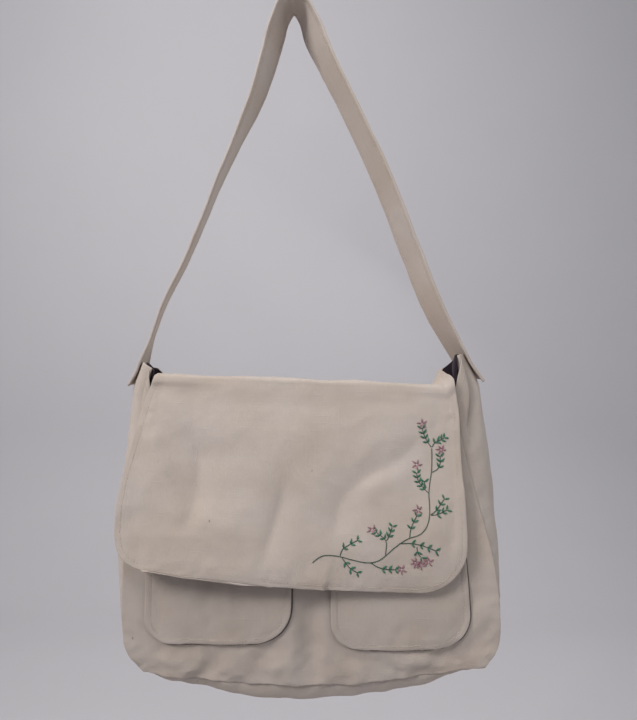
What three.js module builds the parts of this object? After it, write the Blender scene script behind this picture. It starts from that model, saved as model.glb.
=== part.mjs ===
// Cloth shoulder bag hanging by its strap: canvas walls, a dark lining, a front flap and two patch pockets.
// Millimetres, +Z up, the front faces -Y. The origin is where the strap's underside rests when it hangs.
import * as THREE from "three";

// Driving dimensions
const CANVAS = 1.6; // one canvas wall
const LINING = 0.8; // lining cloth
const FLAP_CLOTH = 2.0; // canvas and its facing, sewn together
const POCKET_CLOTH = 1.8;
const STRAP_CLOTH = 3.0; // canvas folded in four
const STRAP_WIDTH = 42;
const SEAM_GAP = 0.4; // clearance between neighbouring cloths
const LINING_GAP = 0.7; // the lining hangs a little slack inside the canvas
const FLOOR_SLACK = 1.5; // and stands this much higher over the base
const TAB_GAP = 1.3; // the strap's flat ends to the curved gussets
const FLAP_CORNER = { left: 28, right: 42 }; // radius of the flap's lower corners
const POCKET_CORNER = 28;
const POCKET_CLEAR = 1.4; // pocket edge to the front panel, room for the creases under it
const POCKET_SWELL = 2.2; // how far an empty pocket stands off the front

// Edges of the front and back panels, from the mouth (down 0) to the base seams (down 1).
const PANELS = [
  { down: 0.00, frontY: -60, frontL: -145, frontR: 169, backY: 7, backL: -157, backR: 170 },
  { down: 0.08, frontY: -63, frontL: -146, frontR: 171, backY: 8, backL: -158, backR: 173 },
  { down: 0.22, frontY: -69, frontL: -151, frontR: 177, backY: 9, backL: -160, backR: 179 },
  { down: 0.40, frontY: -78, frontL: -158, frontR: 188, backY: 10, backL: -164, backR: 188 },
  { down: 0.60, frontY: -88, frontL: -163, frontR: 200, backY: 10, backL: -167, backR: 198 },
  { down: 0.80, frontY: -93, frontL: -163, frontR: 205, backY: 10, backL: -168, backR: 203 },
  { down: 0.93, frontY: -93, frontL: -157, frontR: 203, backY: 9, backL: -165, backR: 201 },
  { down: 1.00, frontY: -90, frontL: -143, frontR: 191, backY: 8, backL: -155, backR: 190 },
];
const FRONT_BELLY = 5; // the front panel swells this much in its middle
const BACK_HOLLOW = 2; // the back panel's upper edge bows in

// How far each gusset bulges past the panels' edges.
const GUSSET_BULGE = [
  { down: 0.00, left: 12, right: 16 },
  { down: 0.08, left: 21, right: 31 },
  { down: 0.22, left: 21, right: 31 },
  { down: 0.40, left: 18, right: 25 },
  { down: 0.60, left: 14, right: 14 },
  { down: 0.80, left: 8, right: 6 },
  { down: 0.93, left: 4, right: 4 },
  { down: 1.00, left: 2, right: 2 },
];

// Heights of the panels' upper and lower edges: at the left end, the middle and the right end.
const FRONT_TOP = { left: -438, middle: -453, right: -445 };
const FRONT_BASE = { left: -713, middle: -725, right: -707 };
const BACK_TOP = { left: -426.5, middle: -432.5, right: -439.5 };
const BACK_BASE = { left: -719, middle: -728, right: -716 };
const BACK_EAR = { left: 9.5, right: 20.5, width: 0.03 }; // the strap pulls up the back's two upper corners
const BASE_SAG = 20; // the empty base hangs below its two seams
const BASE_SAG_AT = 0.2; // and lowest this far from front to back

// The strap pulls each gusset's upper edge to a peak: height added across the gusset, front (0) to back (1).
const GUSSET_PEAK = [
  { across: 0.00, left: 0, right: 0 },
  { across: 0.06, left: 13, right: 19 },
  { across: 0.22, left: 23, right: 37 },
  { across: 0.50, left: 16, right: 25 },
  { across: 0.82, left: 6, right: 9 },
  { across: 1.00, left: 0, right: 0 },
];
const PEAK_REACH = 0.3; // share of the height over which the peak dies away
// Valley between the strap and the gusset's front: place and half width across, and depth going down.
const TUCK = { across: 0.24, width: 0.1 };
const TUCK_DEPTH = [
  { down: 0.00, left: 1, right: 2 },
  { down: 0.04, left: 6, right: 9 },
  { down: 0.08, left: 9, right: 13 },
  { down: 0.14, left: 5, right: 7 },
  { down: 0.22, left: 0, right: 0 },
];

// Soft creases: from and to in the front view (x, z), half width, and depth into the cloth.
const FRONT_CREASES = [
  { from: [-88, -694], to: [-84, -710], width: 12, depth: 4 },
  { from: [21, -650], to: [24, -715], width: 12, depth: 2.5 },
  { from: [150, -704], to: [194, -680], width: 12, depth: 3 },
];
const FLAP_CREASES = [
  { from: [-97, -455], to: [-94, -556], width: 13, depth: 2.5 },
  { from: [-8, -528], to: [-27, -612], width: 13, depth: 2.5 },
  { from: [103, -486], to: [52, -553], width: 18, depth: 3.5 },
  { from: [165, -460], to: [103, -486], width: 15, depth: 2.5 },
];

// The flap from its seam along the back's upper edge (first row) over the mouth: height above it, and its sides.
const FLAP_OVER = [
  { y: 8, rise: 1.3, left: -147.5, right: 164 },
  { y: 3, rise: 1.9, left: -147.5, right: 164 },
  { y: -10, rise: 2.6, left: -146.5, right: 165 },
  { y: -35, rise: 3.6, left: -142, right: 166.5 },
  { y: -52, rise: 3.8, left: -139.5, right: 167 },
  { y: -60, rise: 2.8, left: -139, right: 167.5 },
  { y: -64, rise: 0, left: -139, right: 168 },
];
// Then down the front: share of the way to its lower edge, and how far it stands off the front panel.
const FLAP_DOWN = [
  { fall: 8, standoff: 4.8, left: -140, right: 169 },
  { fall: 18, standoff: 5.3, left: -143.5, right: 170 },
  { fall: 32, standoff: 6.0, left: -148, right: 171 },
  { fall: 56, standoff: 6.5, left: -152.5, right: 171 },
  { fall: 84, standoff: 7.5, left: -158, right: 171 },
  { fall: 112, standoff: 9.0, left: -162.5, right: 172 },
  { fall: 140, standoff: 9.5, left: -165, right: 172 },
  { fall: 162, standoff: 10.0, left: -165, right: 171 },
  { fall: 174, standoff: 10.0, left: -163, right: 170 },
  { fall: 185, standoff: 10.0, left: -162, right: 169 },
  { fall: 193, standoff: 10.0, left: -161, right: 168 },
  { fall: 198, standoff: 10.0, left: -160, right: 167 },
  { fall: 200, standoff: 10.0, left: -160, right: 166 },
];
const FLAP_EAR = { back: 14, front: 8, width: 0.03, reach: 50 }; // its upper right corner is turned up
const FLAP_FOOT = { left: -604, middle: -622, right: -630 }; // height of its lower edge
const FLAP_LIFT = 15; // its lower left corner stands off this much more

// Patch pockets on the front: edges at the upper opening and at the foot.
const POCKETS = [
  { name: "pocket_left", topL: -138, topR: 2, footL: -140, footR: 1, topZ: -545, footZ: -682 },
  { name: "pocket_right", topL: 40, topR: 168, footL: 42, footR: 178, topZ: -545, footZ: -688 },
];

// The strap's middle line between the two gussets, left to right over the hang point.
// Turn is the angle of the band's width from +Y towards -X.
const STRAP_ROUTE = [
  { x: -155.5, y: -22.5, z: -384, turn: 13 },
  { x: -149, y: -22, z: -363, turn: 13 },
  { x: -114, y: -16, z: -285, turn: 10 },
  { x: -83, y: -11, z: -205, turn: 7 },
  { x: -66, y: -8, z: -165, turn: 3 },
  { x: -44, y: -4, z: -113, turn: -9 },
  { x: -28, y: -1, z: -63, turn: -17 },
  { x: -18, y: 0, z: -27, turn: -18 },
  { x: -10, y: 0, z: -6, turn: -12 },
  { x: 0, y: 0, z: STRAP_CLOTH / 2, turn: 0 },
  { x: 10, y: 0, z: -6, turn: 14 },
  { x: 20, y: 0, z: -27, turn: 26 },
  { x: 36, y: -1, z: -63, turn: 22 },
  { x: 60, y: -4, z: -113, turn: 18 },
  { x: 101, y: -11, z: -205, turn: 20 },
  { x: 131, y: -16, z: -285, turn: 21 },
  { x: 162, y: -22, z: -363, turn: 19 },
];
const STRAP_STEPS = 56; // along the route
const TAB_DOWN = [0.06, 0.042, 0.022, 0.006]; // sewn ends, outside the gussets, foot first
const TAB_FLARE = [3.0, 1.2, 0, 0]; // the free foot curls away from the gusset
const TAB_Y = -23; // the tabs' middle

// How finely the cloth is cut up, from edge to edge
const ACROSS = [0, 0.03, 0.09, 0.16, 0.23, 0.3, 0.37, 0.435, 0.5, 0.565, 0.63, 0.7, 0.77, 0.84, 0.91, 0.97, 1];
const DOWN = [0, 0.035, 0.08, 0.15, 0.23, 0.33, 0.45, 0.58, 0.71, 0.83, 0.92, 0.97, 1];
const GUSSET = [0, 0.08, 0.145, 0.22, 0.35, 0.5, 0.66, 0.83, 1];

const point = (x, y, z) => new THREE.Vector3(x, y, z);
const mix = THREE.MathUtils.lerp;

// Smooth value of one column of a table at a place along another, with no overshoot at the rows.
function read(table, column, along, place) {
  const last = table.length - 1;
  if (place <= table[0][along]) return table[0][column];
  if (place >= table[last][along]) return table[last][column];
  const i = table.findIndex((row) => row[along] > place) - 1;
  const slope = (k) => (table[k + 1][column] - table[k][column]) / (table[k + 1][along] - table[k][along]);
  const tangent = (k) => {
    if (k === 0) return slope(0);
    if (k === last) return slope(last - 1);
    return slope(k - 1) * slope(k) <= 0 ? 0 : (slope(k - 1) + slope(k)) / 2;
  };
  const width = table[i + 1][along] - table[i][along];
  const t = (place - table[i][along]) / width;
  const ease = 3 * t ** 2 - 2 * t ** 3;
  const level = mix(table[i][column], table[i + 1][column], ease);
  return level + width * (tangent(i) * (t ** 3 - 2 * t ** 2 + t) + tangent(i + 1) * (t ** 3 - t ** 2));
}

const panel = (column, down) => read(PANELS, column, "down", down);

// An edge that hangs in a curve between its ends.
function hangingEdge(edge, u) {
  const sag = edge.middle - (edge.left + edge.right) / 2;
  return mix(edge.left, edge.right, u) + sag * Math.sin(Math.PI * u);
}

// Depth of all creases of a table at a place in the front view.
function creased(table, x, z) {
  let total = 0;
  for (const crease of table) {
    const run = [crease.to[0] - crease.from[0], crease.to[1] - crease.from[1]];
    const offset = [x - crease.from[0], z - crease.from[1]];
    const length2 = run[0] ** 2 + run[1] ** 2;
    const t = THREE.MathUtils.clamp((offset[0] * run[0] + offset[1] * run[1]) / length2, 0, 1);
    const apart = Math.hypot(offset[0] - run[0] * t, offset[1] - run[1] * t);
    total += crease.depth * Math.exp(-((apart / crease.width) ** 2));
  }
  return total;
}

// Outer faces of the bag
function front(u, v) {
  const x = mix(panel("frontL", v), panel("frontR", v), u);
  const z = mix(hangingEdge(FRONT_TOP, u), hangingEdge(FRONT_BASE, u), v);
  const belly = FRONT_BELLY * Math.sin(Math.PI * u) * Math.sin(Math.PI * Math.min(1, v + 0.15));
  return point(x, panel("frontY", v) - belly + creased(FRONT_CREASES, x, z), z);
}

function back(u, v) {
  const x = mix(panel("backL", v), panel("backR", v), u);
  const leftEar = BACK_EAR.left * Math.max(0, 1 - u / BACK_EAR.width);
  const rightEar = BACK_EAR.right * Math.max(0, 1 - (1 - u) / BACK_EAR.width);
  const z = mix(hangingEdge(BACK_TOP, u) + leftEar + rightEar, hangingEdge(BACK_BASE, u), v);
  return point(x, panel("backY", v) - BACK_HOLLOW * Math.sin(Math.PI * u) * (1 - v), z);
}

function gusset(side, g, v, tucked = 1) {
  const left = side === "left";
  const u = left ? 0 : 1;
  const place = front(u, v).lerp(back(u, v), g);
  const arch = Math.sin(Math.PI * g);
  const bulge = read(GUSSET_BULGE, side, "down", v) * arch * (2 - arch);
  const depth = tucked * read(TUCK_DEPTH, side, "down", v) * THREE.MathUtils.smoothstep(g, 0, TUCK.across);
  const tuck = depth * Math.exp(-(((g - TUCK.across) / TUCK.width) ** 2));
  place.x += (left ? -1 : 1) * (bulge - tuck);
  place.z += read(GUSSET_PEAK, side, "across", g) * Math.max(0, 1 - v / PEAK_REACH) ** 2;
  return place;
}

function base(u, g) {
  const place = front(u, 1).lerp(back(u, 1), g);
  const shape = g < BASE_SAG_AT ? g / BASE_SAG_AT : (1 - g) / (1 - BASE_SAG_AT);
  place.z -= BASE_SAG * Math.sin(Math.PI * u) ** 0.6 * Math.sin((Math.PI / 2) * shape);
  return place;
}

// Direction into the bag at a place on one of its outer faces.
function inward(face, a, b, sign) {
  const step = 0.004;
  const across = face(Math.min(1, a + step), b).sub(face(Math.max(0, a - step), b));
  const down = face(a, Math.min(1, b + step)).sub(face(a, Math.max(0, b - step)));
  return across.cross(down).normalize().multiplyScalar(sign);
}

const left = (g, v) => gusset("left", g, v);
const right = (g, v) => gusset("right", g, v);
const intoFront = (u, v) => inward(front, u, v, 1);
const intoBack = (u, v) => inward(back, u, v, -1);
// The gussets turn sharply at their seams, so their direction there is taken a little way in.
const offSeam = (g) => THREE.MathUtils.clamp(g, GUSSET[1] / 2, 1 - GUSSET[1] / 2);
const intoLeft = (g, v) => inward(left, offSeam(g), v, -1);
const intoRight = (g, v) => inward(right, offSeam(g), v, 1);
const intoBase = (u, g) => inward(base, u, g, 1);

// A closed solid from points and triangles, turned so that its faces point outwards.
function solid(points, faces) {
  let volume = 0;
  for (const [a, b, c] of faces) volume += points[a].dot(points[b].clone().cross(points[c]));
  const index = volume > 0 ? faces : faces.map(([a, b, c]) => [a, c, b]);
  const geometry = new THREE.BufferGeometry().setFromPoints(points);
  geometry.setIndex(index.flat());
  geometry.computeVertexNormals();
  return geometry;
}

// Two triangles across the shorter diagonal of a four-cornered cell.
function cell(points, a, b, c, d) {
  const straight = points[a].distanceToSquared(points[c]) <= points[b].distanceToSquared(points[d]);
  return straight ? [[a, b, c], [a, c, d]] : [[a, b, d], [b, c, d]];
}

// A cloth wall between two layers of points, rows by columns, with its four edges closed.
function wall(near, far) {
  const rows = near.length;
  const columns = near[0].length;
  const points = [...near.flat(), ...far.flat()];
  const at = (layer, row, column) => layer * rows * columns + row * columns + column;
  const faces = [];
  for (let r = 0; r < rows - 1; r++) {
    for (let c = 0; c < columns - 1; c++) {
      faces.push(...cell(points, at(0, r, c), at(0, r, c + 1), at(0, r + 1, c + 1), at(0, r + 1, c)));
      faces.push(...cell(points, at(1, r, c), at(1, r + 1, c), at(1, r + 1, c + 1), at(1, r, c + 1)));
    }
  }
  for (let c = 0; c < columns - 1; c++) {
    faces.push(...cell(points, at(0, 0, c), at(1, 0, c), at(1, 0, c + 1), at(0, 0, c + 1)));
    const foot = rows - 1;
    faces.push(...cell(points, at(0, foot, c), at(0, foot, c + 1), at(1, foot, c + 1), at(1, foot, c)));
  }
  for (let r = 0; r < rows - 1; r++) {
    faces.push(...cell(points, at(0, r, 0), at(0, r + 1, 0), at(1, r + 1, 0), at(1, r, 0)));
    const end = columns - 1;
    faces.push(...cell(points, at(0, r, end), at(1, r, end), at(1, r + 1, end), at(0, r + 1, end)));
  }
  return solid(points, faces);
}

// Directions square to a grid of points.
function gridNormals(grid) {
  const clampIndex = (i, list) => list[Math.max(0, Math.min(list.length - 1, i))];
  return grid.map((row, r) => row.map((_, c) => {
    const across = clampIndex(c + 1, row).clone().sub(clampIndex(c - 1, row));
    const down = clampIndex(r + 1, grid)[c].clone().sub(clampIndex(r - 1, grid)[c]);
    return across.cross(down).normalize();
  }));
}

const moved = (grid, normals, by) =>
  grid.map((row, r) => row.map((p, c) => p.clone().addScaledVector(normals[r][c], by)));

// A wall whose first layer is a grid and whose second lies a thickness to one side of it.
function backed(grid, normals, thickness) {
  return wall(grid, moved(grid, normals, thickness));
}

// A wall centred on a grid.
function centred(grid, thickness) {
  const normals = gridNormals(grid);
  return wall(moved(grid, normals, thickness / 2), moved(grid, normals, -thickness / 2));
}

const grid = (rows, columns, place) => rows.map((r) => columns.map((c) => place(c, r)));
const INSET = CANVAS + SEAM_GAP; // a cloth that butts on the inside of a canvas wall

function frontPanel() {
  return backed(grid(DOWN, ACROSS, front), grid(DOWN, ACROSS, intoFront), CANVAS);
}

function backPanel() {
  return backed(grid(DOWN, ACROSS, back), grid(DOWN, ACROSS, intoBack), CANVAS);
}

// A gusset fits between the front and back panels, so its two long edges stand just inside them.
function gussetPanel(face, into, u) {
  const place = (g, v) => {
    if (g === 0) return front(u, v).addScaledVector(intoFront(u, v), INSET);
    if (g === 1) return back(u, v).addScaledVector(intoBack(u, v), INSET);
    return face(g, v);
  };
  return backed(grid(DOWN, GUSSET, place), grid(DOWN, GUSSET, into), CANVAS);
}

// The base fits inside the lower edges of all four walls.
function basePanel() {
  const place = (u, g) => {
    const spot = base(u, g);
    if (g === 0) spot.addScaledVector(intoFront(u, 1), INSET);
    if (g === 1) spot.addScaledVector(intoBack(u, 1), INSET);
    if (u === 0) spot.addScaledVector(intoLeft(g, 1), INSET);
    if (u === 1) spot.addScaledVector(intoRight(g, 1), INSET);
    return spot;
  };
  return backed(grid(GUSSET, ACROSS, place), grid(GUSSET, ACROSS, intoBase), CANVAS);
}

// One layer of the lining bag: rings round the four walls from the mouth down, then its floor.
function liningLayer(depth) {
  const corner = (u, v, g) => {
    const spot = u === 0 ? left(g, v) : right(g, v);
    spot.addScaledVector(u === 0 ? intoLeft(g, v) : intoRight(g, v), depth);
    return spot.addScaledVector(g === 0 ? intoFront(u, v) : intoBack(u, v), depth);
  };
  const ring = (v) => {
    const lift = v === 1 ? depth + FLOOR_SLACK : 0;
    const inner = ACROSS.slice(1, -1);
    const sides = GUSSET.slice(1, -1);
    const points = [
      corner(0, v, 0),
      ...inner.map((u) => front(u, v).addScaledVector(intoFront(u, v), depth)),
      corner(1, v, 0),
      ...sides.map((g) => right(g, v).addScaledVector(intoRight(g, v), depth)),
      corner(1, v, 1),
      ...inner.toReversed().map((u) => back(u, v).addScaledVector(intoBack(u, v), depth)),
      corner(0, v, 1),
      ...sides.toReversed().map((g) => left(g, v).addScaledVector(intoLeft(g, v), depth)),
    ];
    return points.map((p) => p.add(point(0, 0, lift)));
  };
  const floor = (u, g) => base(u, g).addScaledVector(intoBase(u, g), depth + FLOOR_SLACK);
  return { rings: DOWN.map(ring), floor };
}

function lining() {
  const points = [];
  const faces = [];
  const size = 2 * (ACROSS.length + GUSSET.length) - 4;
  const across = ACROSS.length - 1;
  const deep = GUSSET.length - 1;
  const depths = [CANVAS + LINING_GAP, CANVAS + LINING_GAP + LINING];
  const layers = depths.map(liningLayer).map(({ rings, floor }) => {
    const first = points.length;
    points.push(...rings.flat());
    const ringAt = (r, k) => first + r * size + (k % size);
    for (let r = 0; r < DOWN.length - 1; r++) {
      for (let k = 0; k < size; k++) {
        faces.push(...cell(points, ringAt(r, k), ringAt(r, k + 1), ringAt(r + 1, k + 1), ringAt(r + 1, k)));
      }
    }
    const floorStart = points.length;
    for (let g = 1; g < deep; g++) {
      for (let u = 1; u < across; u++) points.push(floor(ACROSS[u], GUSSET[g]));
    }
    const foot = DOWN.length - 1;
    const floorAt = (u, g) => {
      if (g === 0) return ringAt(foot, u);
      if (u === across) return ringAt(foot, across + g);
      if (g === deep) return ringAt(foot, 2 * across + deep - u);
      if (u === 0) return ringAt(foot, 2 * across + 2 * deep - g);
      return floorStart + (g - 1) * (across - 1) + u - 1;
    };
    for (let g = 0; g < deep; g++) {
      for (let u = 0; u < across; u++) {
        const near = [floorAt(u, g), floorAt(u + 1, g)];
        const far = [floorAt(u + 1, g + 1), floorAt(u, g + 1)];
        faces.push(...cell(points, ...near, ...far));
      }
    }
    return { ringAt, lastFace: faces.length };
  });
  for (let f = layers[0].lastFace; f < layers[1].lastFace; f++) faces[f].reverse();
  for (let k = 0; k < size; k++) {
    const [outer, inner] = layers.map(({ ringAt }) => ringAt);
    faces.push(...cell(points, outer(0, k + 1), outer(0, k), inner(0, k), inner(0, k + 1)));
  }
  return solid(points, faces);
}

// Depth of the front panel's outer face at a place in the front view.
function frontDepth(x, z) {
  const top = (u) => hangingEdge(FRONT_TOP, u);
  const foot = (u) => hangingEdge(FRONT_BASE, u);
  let u = 0.5;
  let v = 0.5;
  for (let i = 0; i < 12; i++) {
    v = THREE.MathUtils.clamp((z - top(u)) / (foot(u) - top(u)), 0, 1);
    const [start, end] = [panel("frontL", v), panel("frontR", v)];
    u = THREE.MathUtils.clamp((x - start) / (end - start), 0, 1);
  }
  return front(u, v).y;
}

// How far a rounded corner draws an edge in, at a height above the foot.
function cornerInset(radius, height) {
  return height >= radius ? 0 : radius - Math.sqrt(radius ** 2 - (radius - height) ** 2);
}

function flap() {
  const [start, end] = [panel("backL", 0), panel("backR", 0)];
  const seam = (x) => hangingEdge(BACK_TOP, (x - start) / (end - start)) + SEAM_GAP;
  const turnedUp = (a) => Math.max(0, 1 - (1 - a) / FLAP_EAR.width);
  const over = FLAP_OVER.map((row) => ACROSS.map((a) => {
    const x = mix(row.left, row.right, a);
    const overBack = (row.y - FLAP_OVER.at(-1).y) / (FLAP_OVER[0].y - FLAP_OVER.at(-1).y);
    const y = row.y - BACK_HOLLOW * Math.sin(Math.PI * a) * overBack;
    return point(x, y, seam(x) + row.rise + turnedUp(a) * mix(FLAP_EAR.front, FLAP_EAR.back, overBack));
  }));
  const longest = FLAP_DOWN.at(-1).fall;
  const down = FLAP_DOWN.map((row) => ACROSS.map((a) => {
    const insetLeft = cornerInset(FLAP_CORNER.left, longest - row.fall);
    const insetRight = cornerInset(FLAP_CORNER.right, longest - row.fall);
    const x = mix(row.left + insetLeft, row.right - insetRight, a);
    const hinge = seam(mix(FLAP_OVER[0].left, FLAP_OVER[0].right, a));
    const raised = turnedUp(a) * FLAP_EAR.front * Math.max(0, 1 - row.fall / FLAP_EAR.reach);
    const z = mix(hinge, hangingEdge(FLAP_FOOT, a), row.fall / longest) + raised;
    const standoff = row.standoff + FLAP_LIFT * (1 - a) * (row.fall / longest) ** 2;
    return point(x, frontDepth(x, z) - standoff + creased(FLAP_CREASES, x, z), z);
  }));
  return centred([...over, ...down], FLAP_CLOTH);
}

function pocket({ topL, topR, footL, footR, topZ, footZ }) {
  const rows = [0, 0.25, 0.5, 0.7, 0.82, 0.9, 0.955, 0.985, 1];
  const columns = Array.from({ length: 11 }, (_, i) => i / 10);
  const sheet = grid(rows, columns, (a, b) => {
    const z = mix(topZ, footZ, b);
    const inset = cornerInset(POCKET_CORNER, z - footZ);
    const x = mix(mix(topL, footL, b) + inset, mix(topR, footR, b) - inset, a);
    const swell = POCKET_SWELL * Math.sin(Math.PI * a) * Math.cos((Math.PI / 2) * b) ** 0.5;
    return point(x, frontDepth(x, z) - POCKET_CLEAR - POCKET_CLOTH / 2 - swell, z);
  });
  return centred(sheet, POCKET_CLOTH);
}

// The strap: a tab sewn on the outside of each gusset, and one band between them over the hang point.
function strap() {
  const share = [-1, -0.5, 0, 0.5, 1];
  const tab = (face, sign) => TAB_DOWN.map((v, i) => share.map((s) => {
    const y = TAB_Y + (s * STRAP_WIDTH) / 2;
    const g = (y - front(0, v).y) / (back(0, v).y - front(0, v).y);
    const out = STRAP_CLOTH / 2 + TAB_GAP + TAB_FLARE[i];
    return face(g, v).addScaledVector(inward(face, g, v, sign), -out);
  }));
  // The stiff strap lies over the valley in the gusset, not in it.
  const start = tab((g, v) => gusset("left", g, v, 0), -1);
  const end = tab((g, v) => gusset("right", g, v, 0), 1).reverse();
  const middle = (row) => row[(row.length - 1) / 2];
  const stops = [middle(start.at(-1)), ...STRAP_ROUTE.map(({ x, y, z }) => point(x, y, z)), middle(end[0])];
  const curve = new THREE.CatmullRomCurve3(stops, false, "centripetal");
  const heading = (row) => row.at(-1).clone().sub(row[0]).normalize();
  const widths = [
    heading(start.at(-1)),
    ...STRAP_ROUTE.map(({ turn }) => {
      const angle = THREE.MathUtils.degToRad(turn);
      return point(-Math.sin(angle), Math.cos(angle), 0);
    }),
    heading(end[0]),
  ];
  const band = [];
  for (let i = 1; i < STRAP_STEPS; i++) {
    const t = i / STRAP_STEPS;
    const place = t * (stops.length - 1);
    const k = Math.min(stops.length - 2, Math.floor(place));
    const along = curve.getTangent(t);
    const width = widths[k].clone().lerp(widths[k + 1], place - k);
    width.addScaledVector(along, -width.dot(along)).normalize();
    band.push(share.map((s) => curve.getPoint(t).addScaledVector(width, (s * STRAP_WIDTH) / 2)));
  }
  return centred([...start, ...band, ...end], STRAP_CLOTH);
}

const canvas = new THREE.MeshStandardMaterial({ color: 0xb8aba2, roughness: 0.92, metalness: 0 });
const darkCotton = new THREE.MeshStandardMaterial({ color: 0x2d212c, roughness: 0.9, metalness: 0 });

const bag = new THREE.Group();

function add(name, geometry, material) {
  const mesh = new THREE.Mesh(geometry, material);
  mesh.name = name;
  bag.add(mesh);
}

add("front_panel", frontPanel(), canvas);
add("back_panel", backPanel(), canvas);
add("gusset_left", gussetPanel(left, intoLeft, 0), canvas);
add("gusset_right", gussetPanel(right, intoRight, 1), canvas);
add("gusset_base", basePanel(), canvas);
add("lining", lining(), darkCotton);
add("flap", flap(), canvas);
for (const size of POCKETS) add(size.name, pocket(size), canvas);
add("strap", strap(), canvas);

export default bag;
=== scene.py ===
# %% [markdown]
# # A hanging canvas shoulder bag
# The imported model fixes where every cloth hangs. This lesson sews the cloth that shows: canvas walls, a flap,
# two patch pockets, a lining and a folded strap, then the stitches and a flowering vine in stranded cotton.
# Cloth this stiff keeps the folds it has, so each piece is drawn as a fine sheet from short tables of its
# edges and folds. That follows the real bag more closely than a cloth simulation, which would settle anew.

import bpy
import numpy as np
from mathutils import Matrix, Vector
from mathutils.bvhtree import BVHTree


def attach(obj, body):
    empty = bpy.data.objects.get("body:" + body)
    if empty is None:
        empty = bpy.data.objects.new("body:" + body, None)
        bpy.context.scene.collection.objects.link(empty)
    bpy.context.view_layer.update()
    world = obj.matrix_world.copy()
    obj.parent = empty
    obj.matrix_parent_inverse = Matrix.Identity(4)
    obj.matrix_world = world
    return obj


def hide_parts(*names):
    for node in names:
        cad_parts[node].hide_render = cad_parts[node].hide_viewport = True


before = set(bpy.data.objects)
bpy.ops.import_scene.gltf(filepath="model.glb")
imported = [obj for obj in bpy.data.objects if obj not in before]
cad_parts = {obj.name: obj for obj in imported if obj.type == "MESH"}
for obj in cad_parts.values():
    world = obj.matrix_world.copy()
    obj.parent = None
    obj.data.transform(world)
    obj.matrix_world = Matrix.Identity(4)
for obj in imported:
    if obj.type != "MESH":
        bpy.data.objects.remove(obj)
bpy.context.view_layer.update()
print("CAD nodes:", sorted(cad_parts))

# %% [markdown]
# ## The camera
# The picture was taken level, square to the bag and close to it, so the strap's top is seen from below and
# the base from above. The lens follows from the focal length in pixels, 541 on an image 720 pixels high.

# %% Camera
IMAGE = (637, 720)
FOCAL = 541.0
SENSOR = 36.0
CAMERA_PLACE = Vector((0.0286, -0.620, -0.407))
scene = bpy.context.scene
camera_data = bpy.data.cameras.new("camera")
camera_data.sensor_width = SENSOR
camera_data.lens = FOCAL / max(IMAGE) * SENSOR
camera = bpy.data.objects.new("camera", camera_data)
camera.location = CAMERA_PLACE
camera.rotation_euler = (np.pi / 2, 0, 0)
scene.collection.objects.link(camera)
scene.camera = camera
print("lens", round(camera_data.lens, 2), "mm")

# %% [markdown]
# ## The bag's outline
# The tables hold what was measured on the bag, in millimetres from the point it hangs by: the edges of the
# front and back panels from the mouth (down 0) to the base seams (down 1). A monotone cubic reads a smooth
# value between the rows without overshooting them, so a few rows are enough for each edge.

# %% Tables of the panels
PANELS = {
    "down": [0.00, 0.08, 0.22, 0.40, 0.60, 0.80, 0.93, 1.00],
    "front_y": [-60, -63, -69, -78, -88, -93, -93, -90],
    "front_left": [-145, -146, -151, -158, -163, -163, -157, -143],
    "front_right": [169, 171, 177, 188, 200, 205, 203, 191],
    "back_y": [7, 8, 9, 10, 10, 10, 9, 8],
    "back_left": [-157, -158, -160, -164, -167, -168, -165, -155],
    "back_right": [170, 173, 179, 188, 198, 203, 201, 190],
}
# Heights of an edge at its left end, middle and right end.
FRONT_TOP = (-438, -453, -445)
FRONT_BASE = (-713, -725, -707)
BACK_TOP = (-426.5, -432.5, -439.5)
BACK_BASE = (-719, -728, -716)
print("mouth", PANELS["front_right"][0] - PANELS["front_left"][0], "mm wide")

# %% Reading a table


def mix(start, end, share):
    """The value a share of the way from start to end."""
    return start + (end - start) * share


def eased(start, end, start_slope, end_slope, width, t):
    """A smooth step from start to end that leaves and arrives at the given slopes."""
    level = mix(start, end, 3 * t**2 - 2 * t**3)
    return level + width * (start_slope * (t**3 - 2 * t**2 + t) + end_slope * (t**3 - t**2))


def read(table, column, place):
    """Smooth value of a table's column at places along its first one, with no overshoot at the rows."""
    stops = np.array(next(iter(table.values())), float)
    levels = np.array(table[column], float)
    slopes = np.diff(levels) / np.diff(stops)
    tangents = np.concatenate([slopes[:1], (slopes[:-1] + slopes[1:]) / 2, slopes[-1:]])
    tangents[1:-1][slopes[:-1] * slopes[1:] <= 0] = 0
    place = np.clip(place, stops[0], stops[-1])
    i = np.clip(np.searchsorted(stops, place, side="right") - 1, 0, len(stops) - 2)
    width = stops[i + 1] - stops[i]
    t = (place - stops[i]) / width
    return eased(levels[i], levels[i + 1], tangents[i], tangents[i + 1], width, t)


def hanging_edge(edge, u):
    """Height of an edge that hangs in a curve between its ends."""
    left, middle, right = edge
    sag = middle - (left + right) / 2
    return mix(left, right, u) + sag * np.sin(np.pi * u)


print("right edge halfway down", round(float(read(PANELS, "front_right", 0.5)), 1), "mm")

# %% [markdown]
# ## The outer faces
# Each wall is a function from two shares, across and down, to a point. The gussets and the base are stretched
# between the edges of the front and back panels, which is how such a bag is sewn, so the seams always meet.
# A fold is a line in the front view with a width and a depth, which is how one reads it off a picture.

# %% Folds as lines
CREASE_ROUND = 1.2


def from_run(x, z, start, end):
    """How far places lie across and above the nearest point of a straight run, and the run itself."""
    run = np.subtract(end, start)[:2]
    t = np.clip(((x - start[0]) * run[0] + (z - start[1]) * run[1]) / (run @ run), 0, 1)
    return x - start[0] - run[0] * t, z - start[1] - run[1] * t, run


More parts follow.
